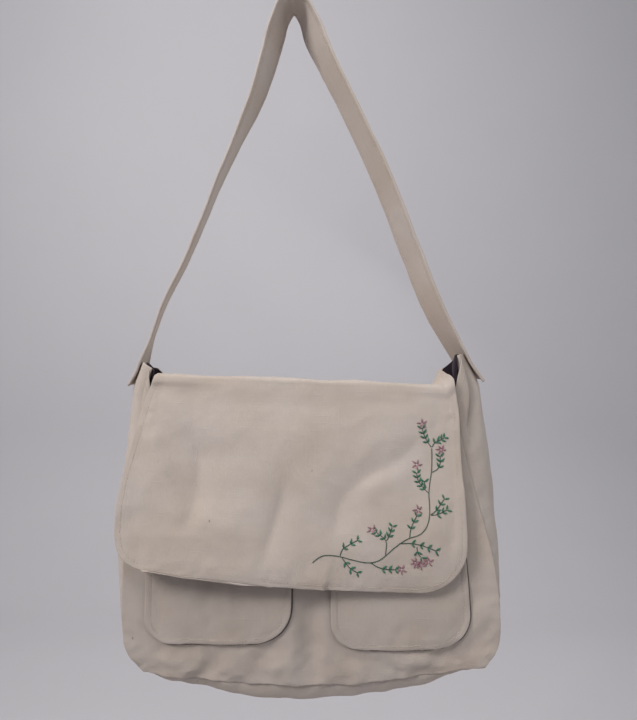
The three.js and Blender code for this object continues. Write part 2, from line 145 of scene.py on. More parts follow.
def creased(folds, x, z, sharp=False):
    """Depth at places in the front view of folds, each a line of points with a width and a depth."""
    total = np.zeros(np.broadcast(x, z).shape)
    for *stops, width, depth in folds:
        apart = np.full(total.shape, np.inf)
        for start, end in zip(stops[:-1], stops[1:]):
            across, above, _ = from_run(x, z, start, end)
            apart = np.minimum(apart, np.hypot(across, above))
        reach = np.hypot(apart, CREASE_ROUND) / width if sharp else (apart / width) ** 2
        total = total + depth * np.exp(-reach)
    return total


def points(x, y, z):
    """An array of points from their coordinates."""
    return np.stack(np.broadcast_arrays(x, y, z), axis=-1).astype(float)


print("depth beside a fold", creased([((0, 0), (0, 9), 5, 2.0)], 5.0, 4.0).round(2), "mm")

# %% Front and back faces
FRONT_CREASES = [
    ((-88, -694), (-84, -710), 12, 4),
    ((21, -650), (24, -715), 12, 2.5),
    ((150, -704), (194, -680), 12, 3),
]
FRONT_BELLY = 5.0
BELLY_RAISED = 0.15
BACK_HOLLOW = 2.0
# The back's upper corners stand up to the gussets, the left one less than the right one.
BACK_EARS = (9.5, 20.5)
BACK_EAR_WIDTH = 0.03


def front(u, v):
    """The front panel's outer face."""
    x = mix(read(PANELS, "front_left", v), read(PANELS, "front_right", v), u)
    z = mix(hanging_edge(FRONT_TOP, u), hanging_edge(FRONT_BASE, u), v)
    belly = FRONT_BELLY * np.sin(np.pi * u) * np.sin(np.pi * np.minimum(1, v + BELLY_RAISED))
    return points(x, read(PANELS, "front_y", v) - belly + creased(FRONT_CREASES, x, z), z)


def back(u, v):
    """The back panel's outer face."""
    x = mix(read(PANELS, "back_left", v), read(PANELS, "back_right", v), u)
    ears = BACK_EARS[0] * np.maximum(0, 1 - u / BACK_EAR_WIDTH)
    ears = ears + BACK_EARS[1] * np.maximum(0, 1 - (1 - u) / BACK_EAR_WIDTH)
    z = mix(hanging_edge(BACK_TOP, u) + ears, hanging_edge(BACK_BASE, u), v)
    return points(x, read(PANELS, "back_y", v) - BACK_HOLLOW * np.sin(np.pi * u) * (1 - v), z)


print("mouth", front(0.5, 0.0).round(1), "base seam", front(0.5, 1.0).round(1))

# %% Gusset and base faces
GUSSET_BULGE = {
    "down": [0.00, 0.08, 0.22, 0.40, 0.60, 0.80, 0.93, 1.00],
    "left": [12, 21, 21, 18, 14, 8, 4, 2],
    "right": [16, 31, 31, 25, 14, 6, 4, 2],
}
GUSSET_PEAK = {
    "across": [0.00, 0.06, 0.22, 0.50, 0.82, 1.00],
    "left": [0, 13, 23, 16, 6, 0],
    "right": [0, 19, 37, 31, 16, 0],
}
PEAK_REACH = 0.3
# The tuck beside the flap: where it lies across the gusset, and how deep it is.
TUCK = {
    "down": [0.00, 0.03, 0.08, 0.13, 0.20],
    "left_across": [0.12, 0.13, 0.14, 0.12, 0.08],
    "right_across": [0.22, 0.21, 0.18, 0.12, 0.08],
    "left": [7.5, 9.5, 11, 8, 0],
    "right": [7, 16, 22, 16, 0],
}
TUCK_WIDTH = 0.036
TUCK_ROUND = 0.006
BASE_SAG = 20.0
BASE_SAG_AT = 0.12


def gusset(side, g, v, tuck_width=TUCK_WIDTH):
    """A gusset's outer face, from the front seam (g 0) to the back seam (g 1)."""
    u = 0.0 if side == "left" else 1.0
    place = mix(front(u, v), back(u, v), np.asarray(g)[..., None])
    arch = np.sin(np.pi * g)
    bulge = read(GUSSET_BULGE, side, v) * arch * (2 - arch)
    valley = read(TUCK, side + "_across", v)
    ease = np.clip(g / valley, 0, 1)
    depth = read(TUCK, side, v) * (3 * ease**2 - 2 * ease**3)
    tuck = depth * np.exp(-np.hypot(g - valley, TUCK_ROUND) / tuck_width)
    place[..., 0] += (-1 if side == "left" else 1) * (bulge - tuck)
    place[..., 2] += read(GUSSET_PEAK, side, g) * np.maximum(0, 1 - v / PEAK_REACH) ** 2
    return place


def base(u, g):
    """The base's outer face, which hangs below its two long seams."""
    place = mix(front(u, np.ones_like(u)), back(u, np.ones_like(u)), np.asarray(g)[..., None])
    shape = np.where(g < BASE_SAG_AT, g / BASE_SAG_AT, (1 - g) / (1 - BASE_SAG_AT))
    place[..., 2] -= BASE_SAG * np.clip(np.sin(np.pi * u), 0, 1) ** 0.6 * np.sin(np.pi / 2 * shape)
    return place


print("right peak", gusset("right", 0.22, 0.0).round(1))

# %% [markdown]
# ## From a grid to cloth
# A sheet of cloth is a grid of points with a direction square to it. The wall goes round both faces of the
# grid and closes every border with a small half circle, as a turned edge of canvas has, instead of a sharp
# rim. The grid also gives each point its place on the flat cloth, in metres, for the weave.

# %% Directions and flat places
MM = 0.001


def unit(vectors):
    """Vectors of length one."""
    return vectors / np.maximum(np.linalg.norm(vectors, axis=-1, keepdims=True), 1e-9)


def square_to(grid):
    """Directions square to a grid of points, to the left of its rows and columns."""
    return unit(np.cross(np.gradient(grid, axis=1), np.gradient(grid, axis=0)))


def raised(grid, outward, height):
    """A grid moved along its directions by a height at each point."""
    return grid + outward * height[..., None]


def cut_up(length, fine=1.2, coarse=3.2, border=10.0):
    """Places from 0 to 1 along a cloth of that length, closer together near its two borders."""
    ends = np.arange(0, border, fine)
    middle = np.linspace(border, length - border, max(2, round((length - 2 * border) / coarse)))
    return np.concatenate([ends, middle, length - ends[::-1]]) / length


def flat_places(grid):
    """Where each grid point lies on the flat cloth, in metres."""
    across = np.cumsum(np.linalg.norm(np.diff(grid, axis=1), axis=2), axis=1)
    across = np.pad(across, ((0, 0), (1, 0)))
    across -= across[:, across.shape[1] // 2, None]
    down = np.cumsum(np.linalg.norm(np.diff(grid, axis=0), axis=2), axis=0)
    down = np.pad(down, ((1, 0), (0, 0))).mean(axis=1, keepdims=True)
    return np.stack([across, down + 0 * across], axis=-1) * MM


def on_cloth(grid):
    """How far across and down the flat cloth each grid point lies, in millimetres."""
    return np.moveaxis(flat_places(grid) / MM, -1, 0)


print("rows down a 300 mm cloth", len(cut_up(300)))

# %% A closed wall of cloth
RIM_TURNS = np.radians([45, 0, -45])
END_TURNS = np.radians([25, 50, 75])


def all_round(row, rims):
    """A row's values for one ring of a wall: front face, right rim, back face and left rim."""
    first, last = np.repeat(row[:1], rims, axis=0), np.repeat(row[-1:], rims, axis=0)
    return np.concatenate([row, last, row[::-1], first])


def tube_faces(rings, size):
    """Faces between rings of points that follow one another."""
    r, k = np.meshgrid(np.arange(rings - 1), np.arange(size), indexing="ij")
    following = (k + 1) % size
    corners = [r * size + k, r * size + following, (r + 1) * size + following, (r + 1) * size + k]
    return np.stack(corners, -1).reshape(-1, 4).tolist()


def ring_faces(rows, columns):
    """Faces of a closed wall: round its rings, and over its two ends."""
    rims = len(RIM_TURNS)
    size = 2 * (columns + rims)
    faces = tube_faces(rows, size)
    for first, turned in ((0, True), ((rows - 1) * size, False)):
        far = first + size - rims - 1
        caps = [[first + c, first + c + 1, far - c - 1, far - c] for c in range(columns - 1)]
        caps.append([first + columns - 1 + j for j in range(rims + 2)])
        caps.append([first + (size - rims - 1 + j) % size for j in range(rims + 2)])
        faces += caps if turned else [cap[::-1] for cap in caps]
    return faces


def wall(grid, outward, thickness, worn_and_shaded):
    """Points, faces, flat places and the dirt and painted shade values of a closed cloth wall centred on a
    grid.
    """
    flat = flat_places(grid)
    thickness = np.broadcast_to(thickness, grid.shape[:2])
    end_rows = []
    for row, step in ((0, 1), (-1, -1)):
        away = unit(grid[row] - grid[row + step]) * thickness[row][:, None] / 2
        end_rows.append([(row, away * np.sin(turn), np.cos(turn)) for turn in END_TURNS])
    whole = [(row, 0.0, 1.0) for row in range(len(grid))]
    rows = end_rows[0][::-1] + whole + end_rows[1]
    rings = []
    for row, shift, share in rows:
        middle = grid[row] + shift
        half = thickness[row][:, None] / 2 * share
        face = outward[row]
        sides = [unit(grid[row][-1] - grid[row][-2]), unit(grid[row][0] - grid[row][1])]
        rims = []
        for edge, side, turns in ((-1, sides[0], RIM_TURNS), (0, sides[1], -RIM_TURNS)):
            out = side[None] * np.cos(turns)[:, None] + face[edge][None] * np.sin(turns)[:, None]
            rims.append(middle[edge] + out * half[edge])
        rings.append(np.concatenate([middle + face * half, rims[0], (middle - face * half)[::-1], rims[1]]))
    places = [all_round(flat[row], len(RIM_TURNS)) for row, _, _ in rows]
    wears_and_shades = [all_round(worn_and_shaded[row], len(RIM_TURNS)) for row, _, _ in rows]
    faces = ring_faces(len(rows), grid.shape[1])
    return np.concatenate(rings), faces, np.concatenate(places), np.concatenate(wears_and_shades)


print("faces of a small wall", len(ring_faces(4, 5)))

# %% Meshes


def make_mesh(name, verts, faces, flat=None, wear_and_shade=None):
    """A smooth mesh object in metres from points in millimetres."""
    mesh = bpy.data.meshes.new(name)
    mesh.from_pydata((np.asarray(verts) * MM).tolist(), [], faces)
    mesh.polygons.foreach_set("use_smooth", np.ones(len(mesh.polygons), bool))
    if flat is not None:
        corners = np.zeros(len(mesh.loops), np.int32)
        mesh.loops.foreach_get("vertex_index", corners)
        layer = mesh.uv_layers.new(name="flat_cloth")
        layer.uv.foreach_set("vector", flat[corners].astype(np.float32).ravel())
    # Dirt near the edges, with painted shade on some pieces, for the canvas finish.
    if wear_and_shade is not None:
        layer = mesh.attributes.new("wear_and_shade", "FLOAT", "POINT")
        layer.data.foreach_set("value", wear_and_shade.astype(np.float32))
    mesh.validate()
    made = bpy.data.objects.new(name, mesh)
    scene.collection.objects.link(made)
    return made


def outward_volume(verts, faces):
    """Six times the volume that the faces enclose, negative where they point inwards."""
    corner = np.array([face[:3] for face in faces])
    a, b, c = verts[corner[:, 0]], verts[corner[:, 1]], verts[corner[:, 2]]
    return (a * np.cross(b, c)).sum()


def sew_walls(name, walls):
    """One piece of cloth from one or more closed walls."""
    all_faces = []
    count = 0
    for verts, faces, _, _ in walls:
        if outward_volume(verts - verts.mean(axis=0), faces) < 0:
            faces = [face[::-1] for face in faces]
        all_faces += [[i + count for i in face] for face in faces]
        count += len(verts)
    verts, _, flat, wear_and_shade = zip(*walls)
    made = make_mesh(name, np.concatenate(verts), all_faces, np.concatenate(flat), np.concatenate(wear_and_shade))
    print(name, len(all_faces), "faces")
    return made


def cloth_piece(name, grid, outward, thickness, worn_and_shaded):
    """One piece of cloth from its middle surface."""
    return sew_walls(name, [wall(grid, outward, thickness, worn_and_shaded)])


# %% [markdown]
# ## Folds and puckers
# Real canvas is never even: it has broad soft waves, smaller crumples, and rows of little puckers wherever a
# seam's thread draws it in. The waves are gradient noise from a seeded table, so each run gives the same bag.
# Hems and seams need to know how far each point is from the cloth's border, and how far along it.

# %% Noise
NOISE_CELLS = 64


def waves(x, y, scale, seed):
    """Smooth random heights from about -1 to 1, with bumps about one scale across."""
    angles = np.random.default_rng(seed).uniform(0, 2 * np.pi, (NOISE_CELLS, NOISE_CELLS))
    gx, gy = np.asarray(x) / scale, np.asarray(y) / scale
    ix, iy = np.floor(gx).astype(int), np.floor(gy).astype(int)
    fx, fy = gx - ix, gy - iy
    ease_x, ease_y = (f**3 * (f * (6 * f - 15) + 10) for f in (fx, fy))

    def corner(dx, dy):
        angle = angles[(ix + dx) % NOISE_CELLS, (iy + dy) % NOISE_CELLS]
        return np.cos(angle) * (fx - dx) + np.sin(angle) * (fy - dy)

    low = mix(corner(0, 0), corner(1, 0), ease_x)
    high = mix(corner(0, 1), corner(1, 1), ease_x)
    return 1.6 * mix(low, high, ease_y)


def crumples(x, y, scale, seed):
    """Like waves, but with sharp creases between round swellings."""
    return 0.7 - 2 * np.abs(waves(x, y, scale, seed))


def ripples(along, scale, seed):
    """Waves along a line only."""
    return waves(along, 0 * along, scale, seed)


print("wave sample", float(waves(12.0, 31.0, 20.0, 3)))

# %% Borders
SEWN_SIDES = ("left", "foot", "right")
ALL_SIDES = (*SEWN_SIDES, "top")


def lengths_along(line):
    """How far along a line each of its points lies."""
    return np.concatenate([[0], np.cumsum(np.linalg.norm(np.diff(line, axis=0), axis=1))])


def at_lengths(line, along, spots):
    """Points of a line at some lengths along it."""
    return np.stack([np.interp(spots, along, line[:, i]) for i in range(3)], axis=1)


def border_of(grid, sides):
    """Points about a millimetre apart along some of a grid's sides, in order, and their lengths along."""
    runs = {"left": grid[:, 0], "foot": grid[-1], "right": grid[::-1, -1], "top": grid[0, ::-1]}
    line = np.concatenate([runs[side] for side in sides])
    steps = np.linalg.norm(np.diff(line, axis=0), axis=1)
    line = line[np.concatenate([[True], steps > 1e-6])]
    along = lengths_along(line)
    spots = np.linspace(0, along[-1], int(along[-1]) + 2)
    return at_lengths(line, along, spots), spots


def from_border(grid, sides):
    """For each grid point, its distance to some of the grid's sides and how far along them that is."""
    line, spots = border_of(grid, sides)
    nearest = np.empty(grid.shape[:2])
    along = np.empty(grid.shape[:2])
    for r, row in enumerate(grid):
        gaps = np.linalg.norm(row[:, None] - line[None], axis=2)
        nearest[r] = gaps.min(axis=1)
        along[r] = spots[gaps.argmin(axis=1)]
    return nearest, along


# %% Hems and seams


def hem_relief(distance, along, width, rise, sunk, seed):
    """Height of a turned hem: thicker outside its stitch line, drawn in at it, with puckers along it."""
    edge = 1 / (1 + np.exp((distance - width) / 0.5))
    groove = np.exp(-(((distance - width) / 0.9) ** 2))
    rhythm = ripples(along, 9.0, seed) + 0.6 * ripples(along, 4.5, seed + 1)
    pucker = rhythm * np.exp(-(((distance - width) / (1.6 * width)) ** 2)) * np.clip(distance / 8, 0, 1)
    return rise * edge - sunk * groove + 0.4 * pucker


def seam_puckers(distance, along, seed):
    """Small ripples that a seam's thread draws in the cloth beside it."""
    rhythm = ripples(along, 11.0, seed) + 0.5 * ripples(along, 5.5, seed + 1)
    return 0.75 * rhythm * np.exp(-(((distance - 4) / 9.0) ** 2))


def worn_edge(distance, reach=4.0):
    """Wear from 1 at a border down to 0 inside."""
    return np.exp(-distance / reach)


print("wear 4 mm inside a border", worn_edge(4.0).round(2))

# %% [markdown]
# ## The front and back panels
# The front swells forward towards the base and is crumpled most where it meets the base seam. The back hangs
# nearly flat. Both are cut as one piece of canvas, so each is one fine grid with its seams puckered.

# %% Folds and painted shade on the front
FRONT_FOLDS = [
    ((-76, -700), (-70, -714), 8, 2.4),
    ((-20, -716), (-8, -720), 6, 1.6),
    ((16, -630), (20, -705), 10, 2.4),
    ((36, -640), (36, -700), 8, -1.2),
    ((-165, -668), (-146, -688), 6, 1.6),
    ((182, -640), (150, -690), 10, 2.0),
    ((120, -700), (150, -706), 6, -1.6),
    ((88, -700), (108, -712), 5, 1.4),
    ((-130, -640), (-128, -690), 8, 1.2),
]
FRONT_VALLEYS = [
    ((-89, -687), (-84, -700), 6, -2.4),
    ((-84, -700), (-93, -709), 6, -2.6),
    ((-93, -709), (-102, -711), 6, -1.6),
    ((-30, -700), (-35, -716), 7, 2.8),
    ((4, -650), (5, -719), 9, -1.4),
    ((60, -698), (96, -710), 8, 2.0),
    ((-140, -694), (-118, -708), 8, 2.0),
    ((130, -690), (168, -702), 7, 1.8),
]
# Patches of painted shade below the flap: middle across and up, reach across and up, strength.
FLAP_SHADE_PATCHES = [
    (-72, -622, 58, 36, 4.2),
    (22, -638, 24, 45, 2.2),
]


def painted_flap_shade(grid):
    """Mottled grey painted shade below the flap, on the front and the left pocket."""
    x, z = grid[..., 0], grid[..., 2]
    total = np.zeros(x.shape)
    for across, up, wide, high, strength in FLAP_SHADE_PATCHES:
        total = total + strength * np.exp(-(((x - across) / wide) ** 2) - ((z - up) / high) ** 2)
    return total * np.clip(0.8 + 0.45 * waves(x, 0.4 * z, 20, 16) + 0.3 * waves(x, 0.6 * z, 8, 17), 0, 2)


print(len(FRONT_FOLDS) + len(FRONT_VALLEYS), "folds on the front")

# %% Front panel
CANVAS = 1.6
FRONT_CUT = (345, 275)


def canvas_piece(name, grid, outward, worn_and_shaded):
    """A canvas wall whose outer face is the grid."""
    return cloth_piece(name, grid - outward * CANVAS / 2, outward, CANVAS, worn_and_shaded)


def base_seam_wander(grid, distance):
    """The crooked run of the front's base seam, for the cloths on both sides of it."""
    x = grid[..., 0]
    near = np.exp(-((distance / 16) ** 2))
    drop = 1.6 * ripples(x, 34, 15) + 0.8 * ripples(x, 14, 16)
    push = 1.5 * ripples(x, 27, 17)
    return np.stack([0 * x, push * near, drop * near], axis=-1)


def front_cloth():
    """The front panel's outer face with its folds, its directions, and its dirty edges and painted shade."""
    wide, high = FRONT_CUT
    u, v = np.meshgrid(cut_up(wide), cut_up(high))
    grid = front(u, v)
    grid = grid + base_seam_wander(grid, (1 - v) * high)
    x, z = grid[..., 0], grid[..., 2]
    distance, along = from_border(grid, SEWN_SIDES)
    low = np.clip((v - 0.72) / 0.2, 0, 1)
    height = -creased(FRONT_FOLDS, x, z) - creased(FRONT_VALLEYS, x, z, sharp=True)
    height += 0.35 * waves(x, z, 55, 11)
    height += low * (1.5 * crumples(x, z, 38, 12) + 0.7 * crumples(x, z, 17, 13))
    height += seam_puckers(distance, along, 14) * np.clip(v * 4, 0, 1)
    outward = -square_to(grid)
    grid = raised(grid, outward, height)
    return grid, outward, worn_edge(distance) + painted_flap_shade(grid)


front_grid, front_outward, front_worn_and_shaded = front_cloth()
front_canvas = canvas_piece("front_canvas", front_grid, front_outward, front_worn_and_shaded)

# %% Back panel
BACK_CUT = (350, 300)


def back_cloth():
    """The back panel's outer face with its waves, its directions and its wear."""
    wide, high = BACK_CUT
    u, v = np.meshgrid(cut_up(wide, coarse=4), cut_up(high, coarse=4))
    grid = back(u, v)
    outward = square_to(grid)
    distance, along = from_border(grid, ALL_SIDES)
    height = 0.9 * waves(u * wide, v * high, 85, 21) + 0.4 * waves(u * wide, v * high, 30, 22)
    height += 0.7 * seam_puckers(distance, along, 23)
    height *= np.clip(v * 12, 0.15, 1)
    return raised(grid, outward, height), outward, worn_edge(distance)


back_grid, back_outward, back_worn = back_cloth()
back_canvas = canvas_piece("back_canvas", back_grid, back_outward, back_worn)

# %% [markdown]
# ## The gussets and the base
# The strap lifts each gusset to a peak, and the cloth falls from it in long upright folds. The base is empty,
# so it hangs in a slack fold under the seams. Their long edges tuck in behind the panels they are sewn to.

# %% Gussets
SEAM_GAP = 0.4
INSET = CANVAS + SEAM_GAP
GUSSET_CUT = (110, 295)
GUSSET_SEEDS = {"left": 31, "right": 41}
# Painted shade in the bottom of each gusset's tuck: its strength, and its width across the gusset.
TUCK_SHADE = 5
TUCK_SHADE_WIDTH = 0.04
DEEPEST_TUCK = 22


def behind_panels(g, wide, reach):
    """How far back a cloth goes where it tucks in behind the front, and forward behind the back."""
    return INSET * (np.exp(-g * wide / reach) - np.exp(-(1 - g) * wide / reach))


def gusset_cloth(side, tuck_width=TUCK_WIDTH):
    """One gusset's outer face with its folds, its directions, and its dirty edges and painted shade in its
    tuck.
    """
    wide, high = GUSSET_CUT
    seed = GUSSET_SEEDS[side]
    g, v = np.meshgrid(cut_up(wide, coarse=1.5), cut_up(high))
    across, down = g * wide, v * high
    grid = gusset(side, g, v, tuck_width)
    grid[..., 1] += behind_panels(g, wide, 1.0)
    distance, along = from_border(grid, SEWN_SIDES)
    outward = square_to(grid) * (1 if side == "left" else -1)
    height = 1.5 * waves(across, down * 0.22, 22, seed) * np.sin(np.pi * np.clip(v * 1.15, 0, 1))
    height += 0.7 * waves(across, down, 34, seed + 1) + 0.35 * waves(across, down, 13, seed + 2)
    height = height * np.clip(distance / 12, 0, 1) + 0.8 * seam_puckers(distance, along, seed + 3)
    height *= np.clip(v * 9, 0.1, 1)
    inner_side = np.exp(-(((g - 0.22) / 0.3) ** 2)) * np.exp(-((v / 0.09) ** 2))
    valley = read(TUCK, side + "_across", v)
    # Painted shade along the tuck's bottom, strongest where the tuck is deepest.
    painted_tuck_shade = np.exp(-(((g - valley) / TUCK_SHADE_WIDTH) ** 2)) * read(TUCK, side, v) / DEEPEST_TUCK
    grid = raised(grid, outward, height * (1 - inner_side))
    return grid, outward, worn_edge(distance) + TUCK_SHADE * painted_tuck_shade


left_grid, left_outward, left_worn_and_shaded = gusset_cloth("left")
right_grid, right_outward, right_worn_and_shaded = gusset_cloth("right")
gusset_left_canvas = canvas_piece("gusset_left_canvas", left_grid, left_outward, left_worn_and_shaded)
gusset_right_canvas = canvas_piece("gusset_right_canvas", right_grid, right_outward, right_worn_and_shaded)

# %% Base
BASE_CUT = (340, 105)


def base_cloth():
    """The base's outer face with its slack folds, its directions and its wear."""
    wide, deep = BASE_CUT
    u, g = np.meshgrid(cut_up(wide, coarse=3), cut_up(deep, coarse=2.4))
    grid = base(u, g)
    grid = grid + base_seam_wander(grid, g * deep)
    outward = -square_to(grid)
    distance, along = from_border(grid, ALL_SIDES)
    height = 1.6 * waves(u * wide, g * deep, 44, 51) + 0.9 * waves(u * wide, g * deep, 19, 52)
    height = height * np.clip(distance / 14, 0, 1) + seam_puckers(distance, along, 53)
    grid = raised(grid, outward, height)
    grid[..., 1] += behind_panels(g, deep, 1.5)
    return grid, outward, worn_edge(distance)


base_grid, base_outward, base_worn = base_cloth()
base_canvas = canvas_piece("base_canvas", base_grid, base_outward, base_worn)

# %% [markdown]
# ## The lining
# A dark cotton inner bag shows as small triangles in both upper corners. It hangs a little slack inside the
# canvas, so it is the same five faces drawn in by the canvas's thickness and a gap.

# %% Lining
LINING = 0.8
LINING_GAP = 0.7
LINING_DEPTH = CANVAS + LINING_GAP + LINING / 2
LINING_SLACK = 3.0
SLACK_REACH = 60
# The lining goes round the gussets' narrow tucks in a wider bend.
LINING_TUCK = 0.16
# The slack lining draws in towards this point, by these shares of the way.
LINING_MIDDLE = np.array([18.0, -40.0, -580.0])
LINING_DRAWN = np.array([0.03, 0.03, 0.012])
FLOOR_MIDDLE = np.array([20.0, -40.0, -600.0])
FLOOR_SHARES = np.array([0.95, 0.84, 0.97])


def drawn_in(grid, inward, hang, seed):
    """A lining wall behind an outer face, hanging slack by a share of the full slack at each point."""
    slack = LINING_SLACK * hang + 0.4 * hang * (1 + waves(*on_cloth(grid), 30, seed))
    sheet = raised(grid, inward, LINING_DEPTH + slack)
    sheet += (LINING_MIDDLE - sheet) * LINING_DRAWN * hang[..., None]
    return wall(sheet, -inward, LINING, 0 * slack)


lining_walls = []
for grid, outward, seed in (
    (front_grid, front_outward, 61),
    (back_grid, back_outward, 62),
    (*gusset_cloth("left", LINING_TUCK)[:2], 63),
    (*gusset_cloth("right", LINING_TUCK)[:2], 64),
):
    thin = grid[::2, ::2]
    _, from_mouth = on_cloth(thin)
    lining_walls.append(drawn_in(thin, -outward[::2, ::2], np.clip(from_mouth / SLACK_REACH, 0, 1), seed))
floor_grid = FLOOR_MIDDLE + (base_grid[::2, ::2] - FLOOR_MIDDLE) * FLOOR_SHARES
lining_walls.append(drawn_in(floor_grid, -base_outward[::2, ::2], np.ones(floor_grid.shape[:2]), 66))
lining_cloth = sew_walls("lining_cloth", lining_walls)

# %% [markdown]
# ## The pockets
# Two patch pockets lie flat and empty on the front. A ray from the front finds the wrinkled front panel
# behind each point, so a pocket follows its folds and never sinks in. The shade along its lower and right
# edges is painted as a thin dark line in the front panel's finish.

# %% Resting on the front
FRONT_OF_BAG = -0.5


def tree_of(piece):
    """A search tree of a piece's faces, in metres."""
    mesh = piece.data
    return BVHTree.FromPolygons([v.co for v in mesh.vertices], [p.vertices for p in mesh.polygons])


front_tree = tree_of(front_canvas)


def front_depth(x, z):
    """Depth of the wrinkled front panel behind places in the front view, in millimetres."""
    found = np.empty(x.shape)
    for place in np.ndindex(x.shape):
        eye = Vector((x[place] * MM, FRONT_OF_BAG, z[place] * MM))
        found[place] = front_tree.ray_cast(eye, Vector((0, 1, 0)))[0].y / MM
    return found


print("front behind the left pocket", front_depth(np.array([-70.0]), np.array([-620.0])).round(1), "mm")

# %% Pockets
POCKET_CLOTH = 1.8
POCKET_CUT = 140
POCKET_CORNERS = (26.0, 36.0)
POCKET_CLEAR = 0.9
POCKET_SWELL = 2.2
POCKET_HEM = 5.0
DEEPEST_RELIEF = -0.45
FOOT_ROWS = 9
FOOT_BAND = 12.0
POCKETS = {
    "left": {"top": (-138, 2), "foot": (-140, 1), "top_z": -545, "foot_z": -682},
    "right": {"top": (40, 168), "foot": (42, 178), "top_z": -545, "foot_z": -688},
}


def corner_inset(radius, height):
    """How far a rounded corner draws an edge in, at a height above the foot."""
    reach = np.clip(radius - height, 0, radius)
    return radius - np.sqrt(radius**2 - reach**2)


def above_foot(height):
    """Shares from the top down to the foot, finer where a rounded corner turns into the foot."""
    foot = height - np.linspace(0, np.sqrt(FOOT_BAND), FOOT_ROWS) ** 2
    upper = cut_up(height, coarse=3.0)
    return np.concatenate([upper[upper * height < height - FOOT_BAND - 1], foot[::-1] / height])


def pocket_cloth(name, cut, seed):
    """One patch pocket on the front, with its middle surface and directions."""
    a, b = np.meshgrid(cut_up(POCKET_CUT, coarse=2.6), above_foot(cut["top_z"] - cut["foot_z"]))
    z = mix(cut["top_z"], cut["foot_z"], b)
    left = mix(cut["top"][0], cut["foot"][0], b) + corner_inset(POCKET_CORNERS[0], z - cut["foot_z"])
    right = mix(cut["top"][1], cut["foot"][1], b) - corner_inset(POCKET_CORNERS[1], z - cut["foot_z"])
    x = mix(left, right, a)
    swell = POCKET_SWELL * np.sin(np.pi * a) * np.cos(np.pi / 2 * np.clip(b, 0, 1)) ** 0.5
    grid = points(x, front_depth(x, z) - POCKET_CLEAR - POCKET_CLOTH / 2 - swell, z)
    distance, along = from_border(grid, SEWN_SIDES)
    outward = -square_to(grid)
    relief = hem_relief(distance, along, POCKET_HEM, 0.3, 0.35, seed)
    relief += 0.5 * waves(x, 0.4 * z, 34, seed + 2) + 0.25 * waves(x, 0.5 * z, 15, seed + 3)
    grid = raised(grid, outward, np.maximum(relief, DEEPEST_RELIEF))
    # Dirty edges, and painted shade below the flap.
    worn_and_shaded = worn_edge(distance, 2.5) + painted_flap_shade(grid)
    return cloth_piece(name, grid, outward, POCKET_CLOTH, worn_and_shaded), grid, outward


pocket_left = pocket_cloth("pocket_left_canvas", POCKETS["left"], 71)
pocket_right = pocket_cloth("pocket_right_canvas", POCKETS["right"], 81)

# %% [markdown]
# ## The flap
# The flap is sewn along the back's upper edge, rolls over the mouth and falls down the front, standing off
# it. Its folds are long and soft: an upright crease near the left, a trough above the left pocket, and a
# broad slanting hollow from the upper right. A hem runs round its three free sides.

# %% Rows of the flap
FLAP_CORNERS = (28.0, 42.0)
FLAP_LONGEST = 200.0
FLAP_FOOT = (-604, -622, -630)
FLAP_OVER = {
    "y": [8, 3, -10, -35, -58, -63, -65],
    "rise": [1.3, 1.9, 2.6, 3.6, 4.2, 2.6, -1.4],
    "left": [-147.5, -147.5, -146.5, -142, -139.5, -139.8, -140.8],
    "right": [169, 168, 167, 166.5, 167, 167.5, 168],
}
FLAP_DOWN = {
    "fall": [8, 18, 32, 56, 84, 112, 140, 162, 174, 185, 193, 198, 200],
    "standoff": [4.5, 6.6, 9.4, 13.4, 16, 16.5, 15.4, 13.2, 11.9, 11, 10.5, 10, 10],
    "left": [-142.5, -145.5, -148.5, -152.5, -158, -162.5, -165, -165, -163, -162, -161, -160, -160],
    "right": [169, 170, 171, 171, 171, 172, 172, 171, 170, 169, 168, 167, 166],
}
# The flap's right end turns up beside the gusset, at its front and at its seam.
FLAP_EAR = (8.0, 20.0)
FLAP_EAR_WIDTH = 0.03
FLAP_EAR_REACH = 50.0
FLAP_LIFT = 15.0
FLAP_ACROSS = cut_up(335, fine=1.0, coarse=3.0, border=12)
TURNED_UP = np.maximum(0, 1 - (1 - FLAP_ACROSS) / FLAP_EAR_WIDTH) ** 1.4
# A broad swelling, in the same form as the front's folds.
FLAP_CREASES = [((120, -500), (60, -560), 42, -3.0)]


def flap_seam(x):
    """Height of the flap's seam on the back's upper edge."""
    start, end = PANELS["back_left"][0], PANELS["back_right"][0]
    return hanging_edge(BACK_TOP, (x - start) / (end - start)) + SEAM_GAP


def smooth_front_depth(x, z):
    """Depth of the front panel's even face at places in the front view."""
    u = np.full(x.shape, 0.5)
    for _ in range(12):
        top, foot = hanging_edge(FRONT_TOP, u), hanging_edge(FRONT_BASE, u)
        v = np.clip((z - top) / (foot - top), 0, 1)
        start, end = read(PANELS, "front_left", v), read(PANELS, "front_right", v)
        u = np.clip((x - start) / (end - start), 0, 1)
    return front(u, v)[..., 1]


def row_over(y, rise, left, right):
    """One row of the flap where it lies over the mouth."""
    x = mix(left, right, FLAP_ACROSS)
    over_back = (y - FLAP_OVER["y"][-1]) / (FLAP_OVER["y"][0] - FLAP_OVER["y"][-1])
    z = flap_seam(x) + rise + TURNED_UP * mix(*FLAP_EAR, over_back)
    return points(x, y - BACK_HOLLOW * np.sin(np.pi * FLAP_ACROSS) * over_back, z)


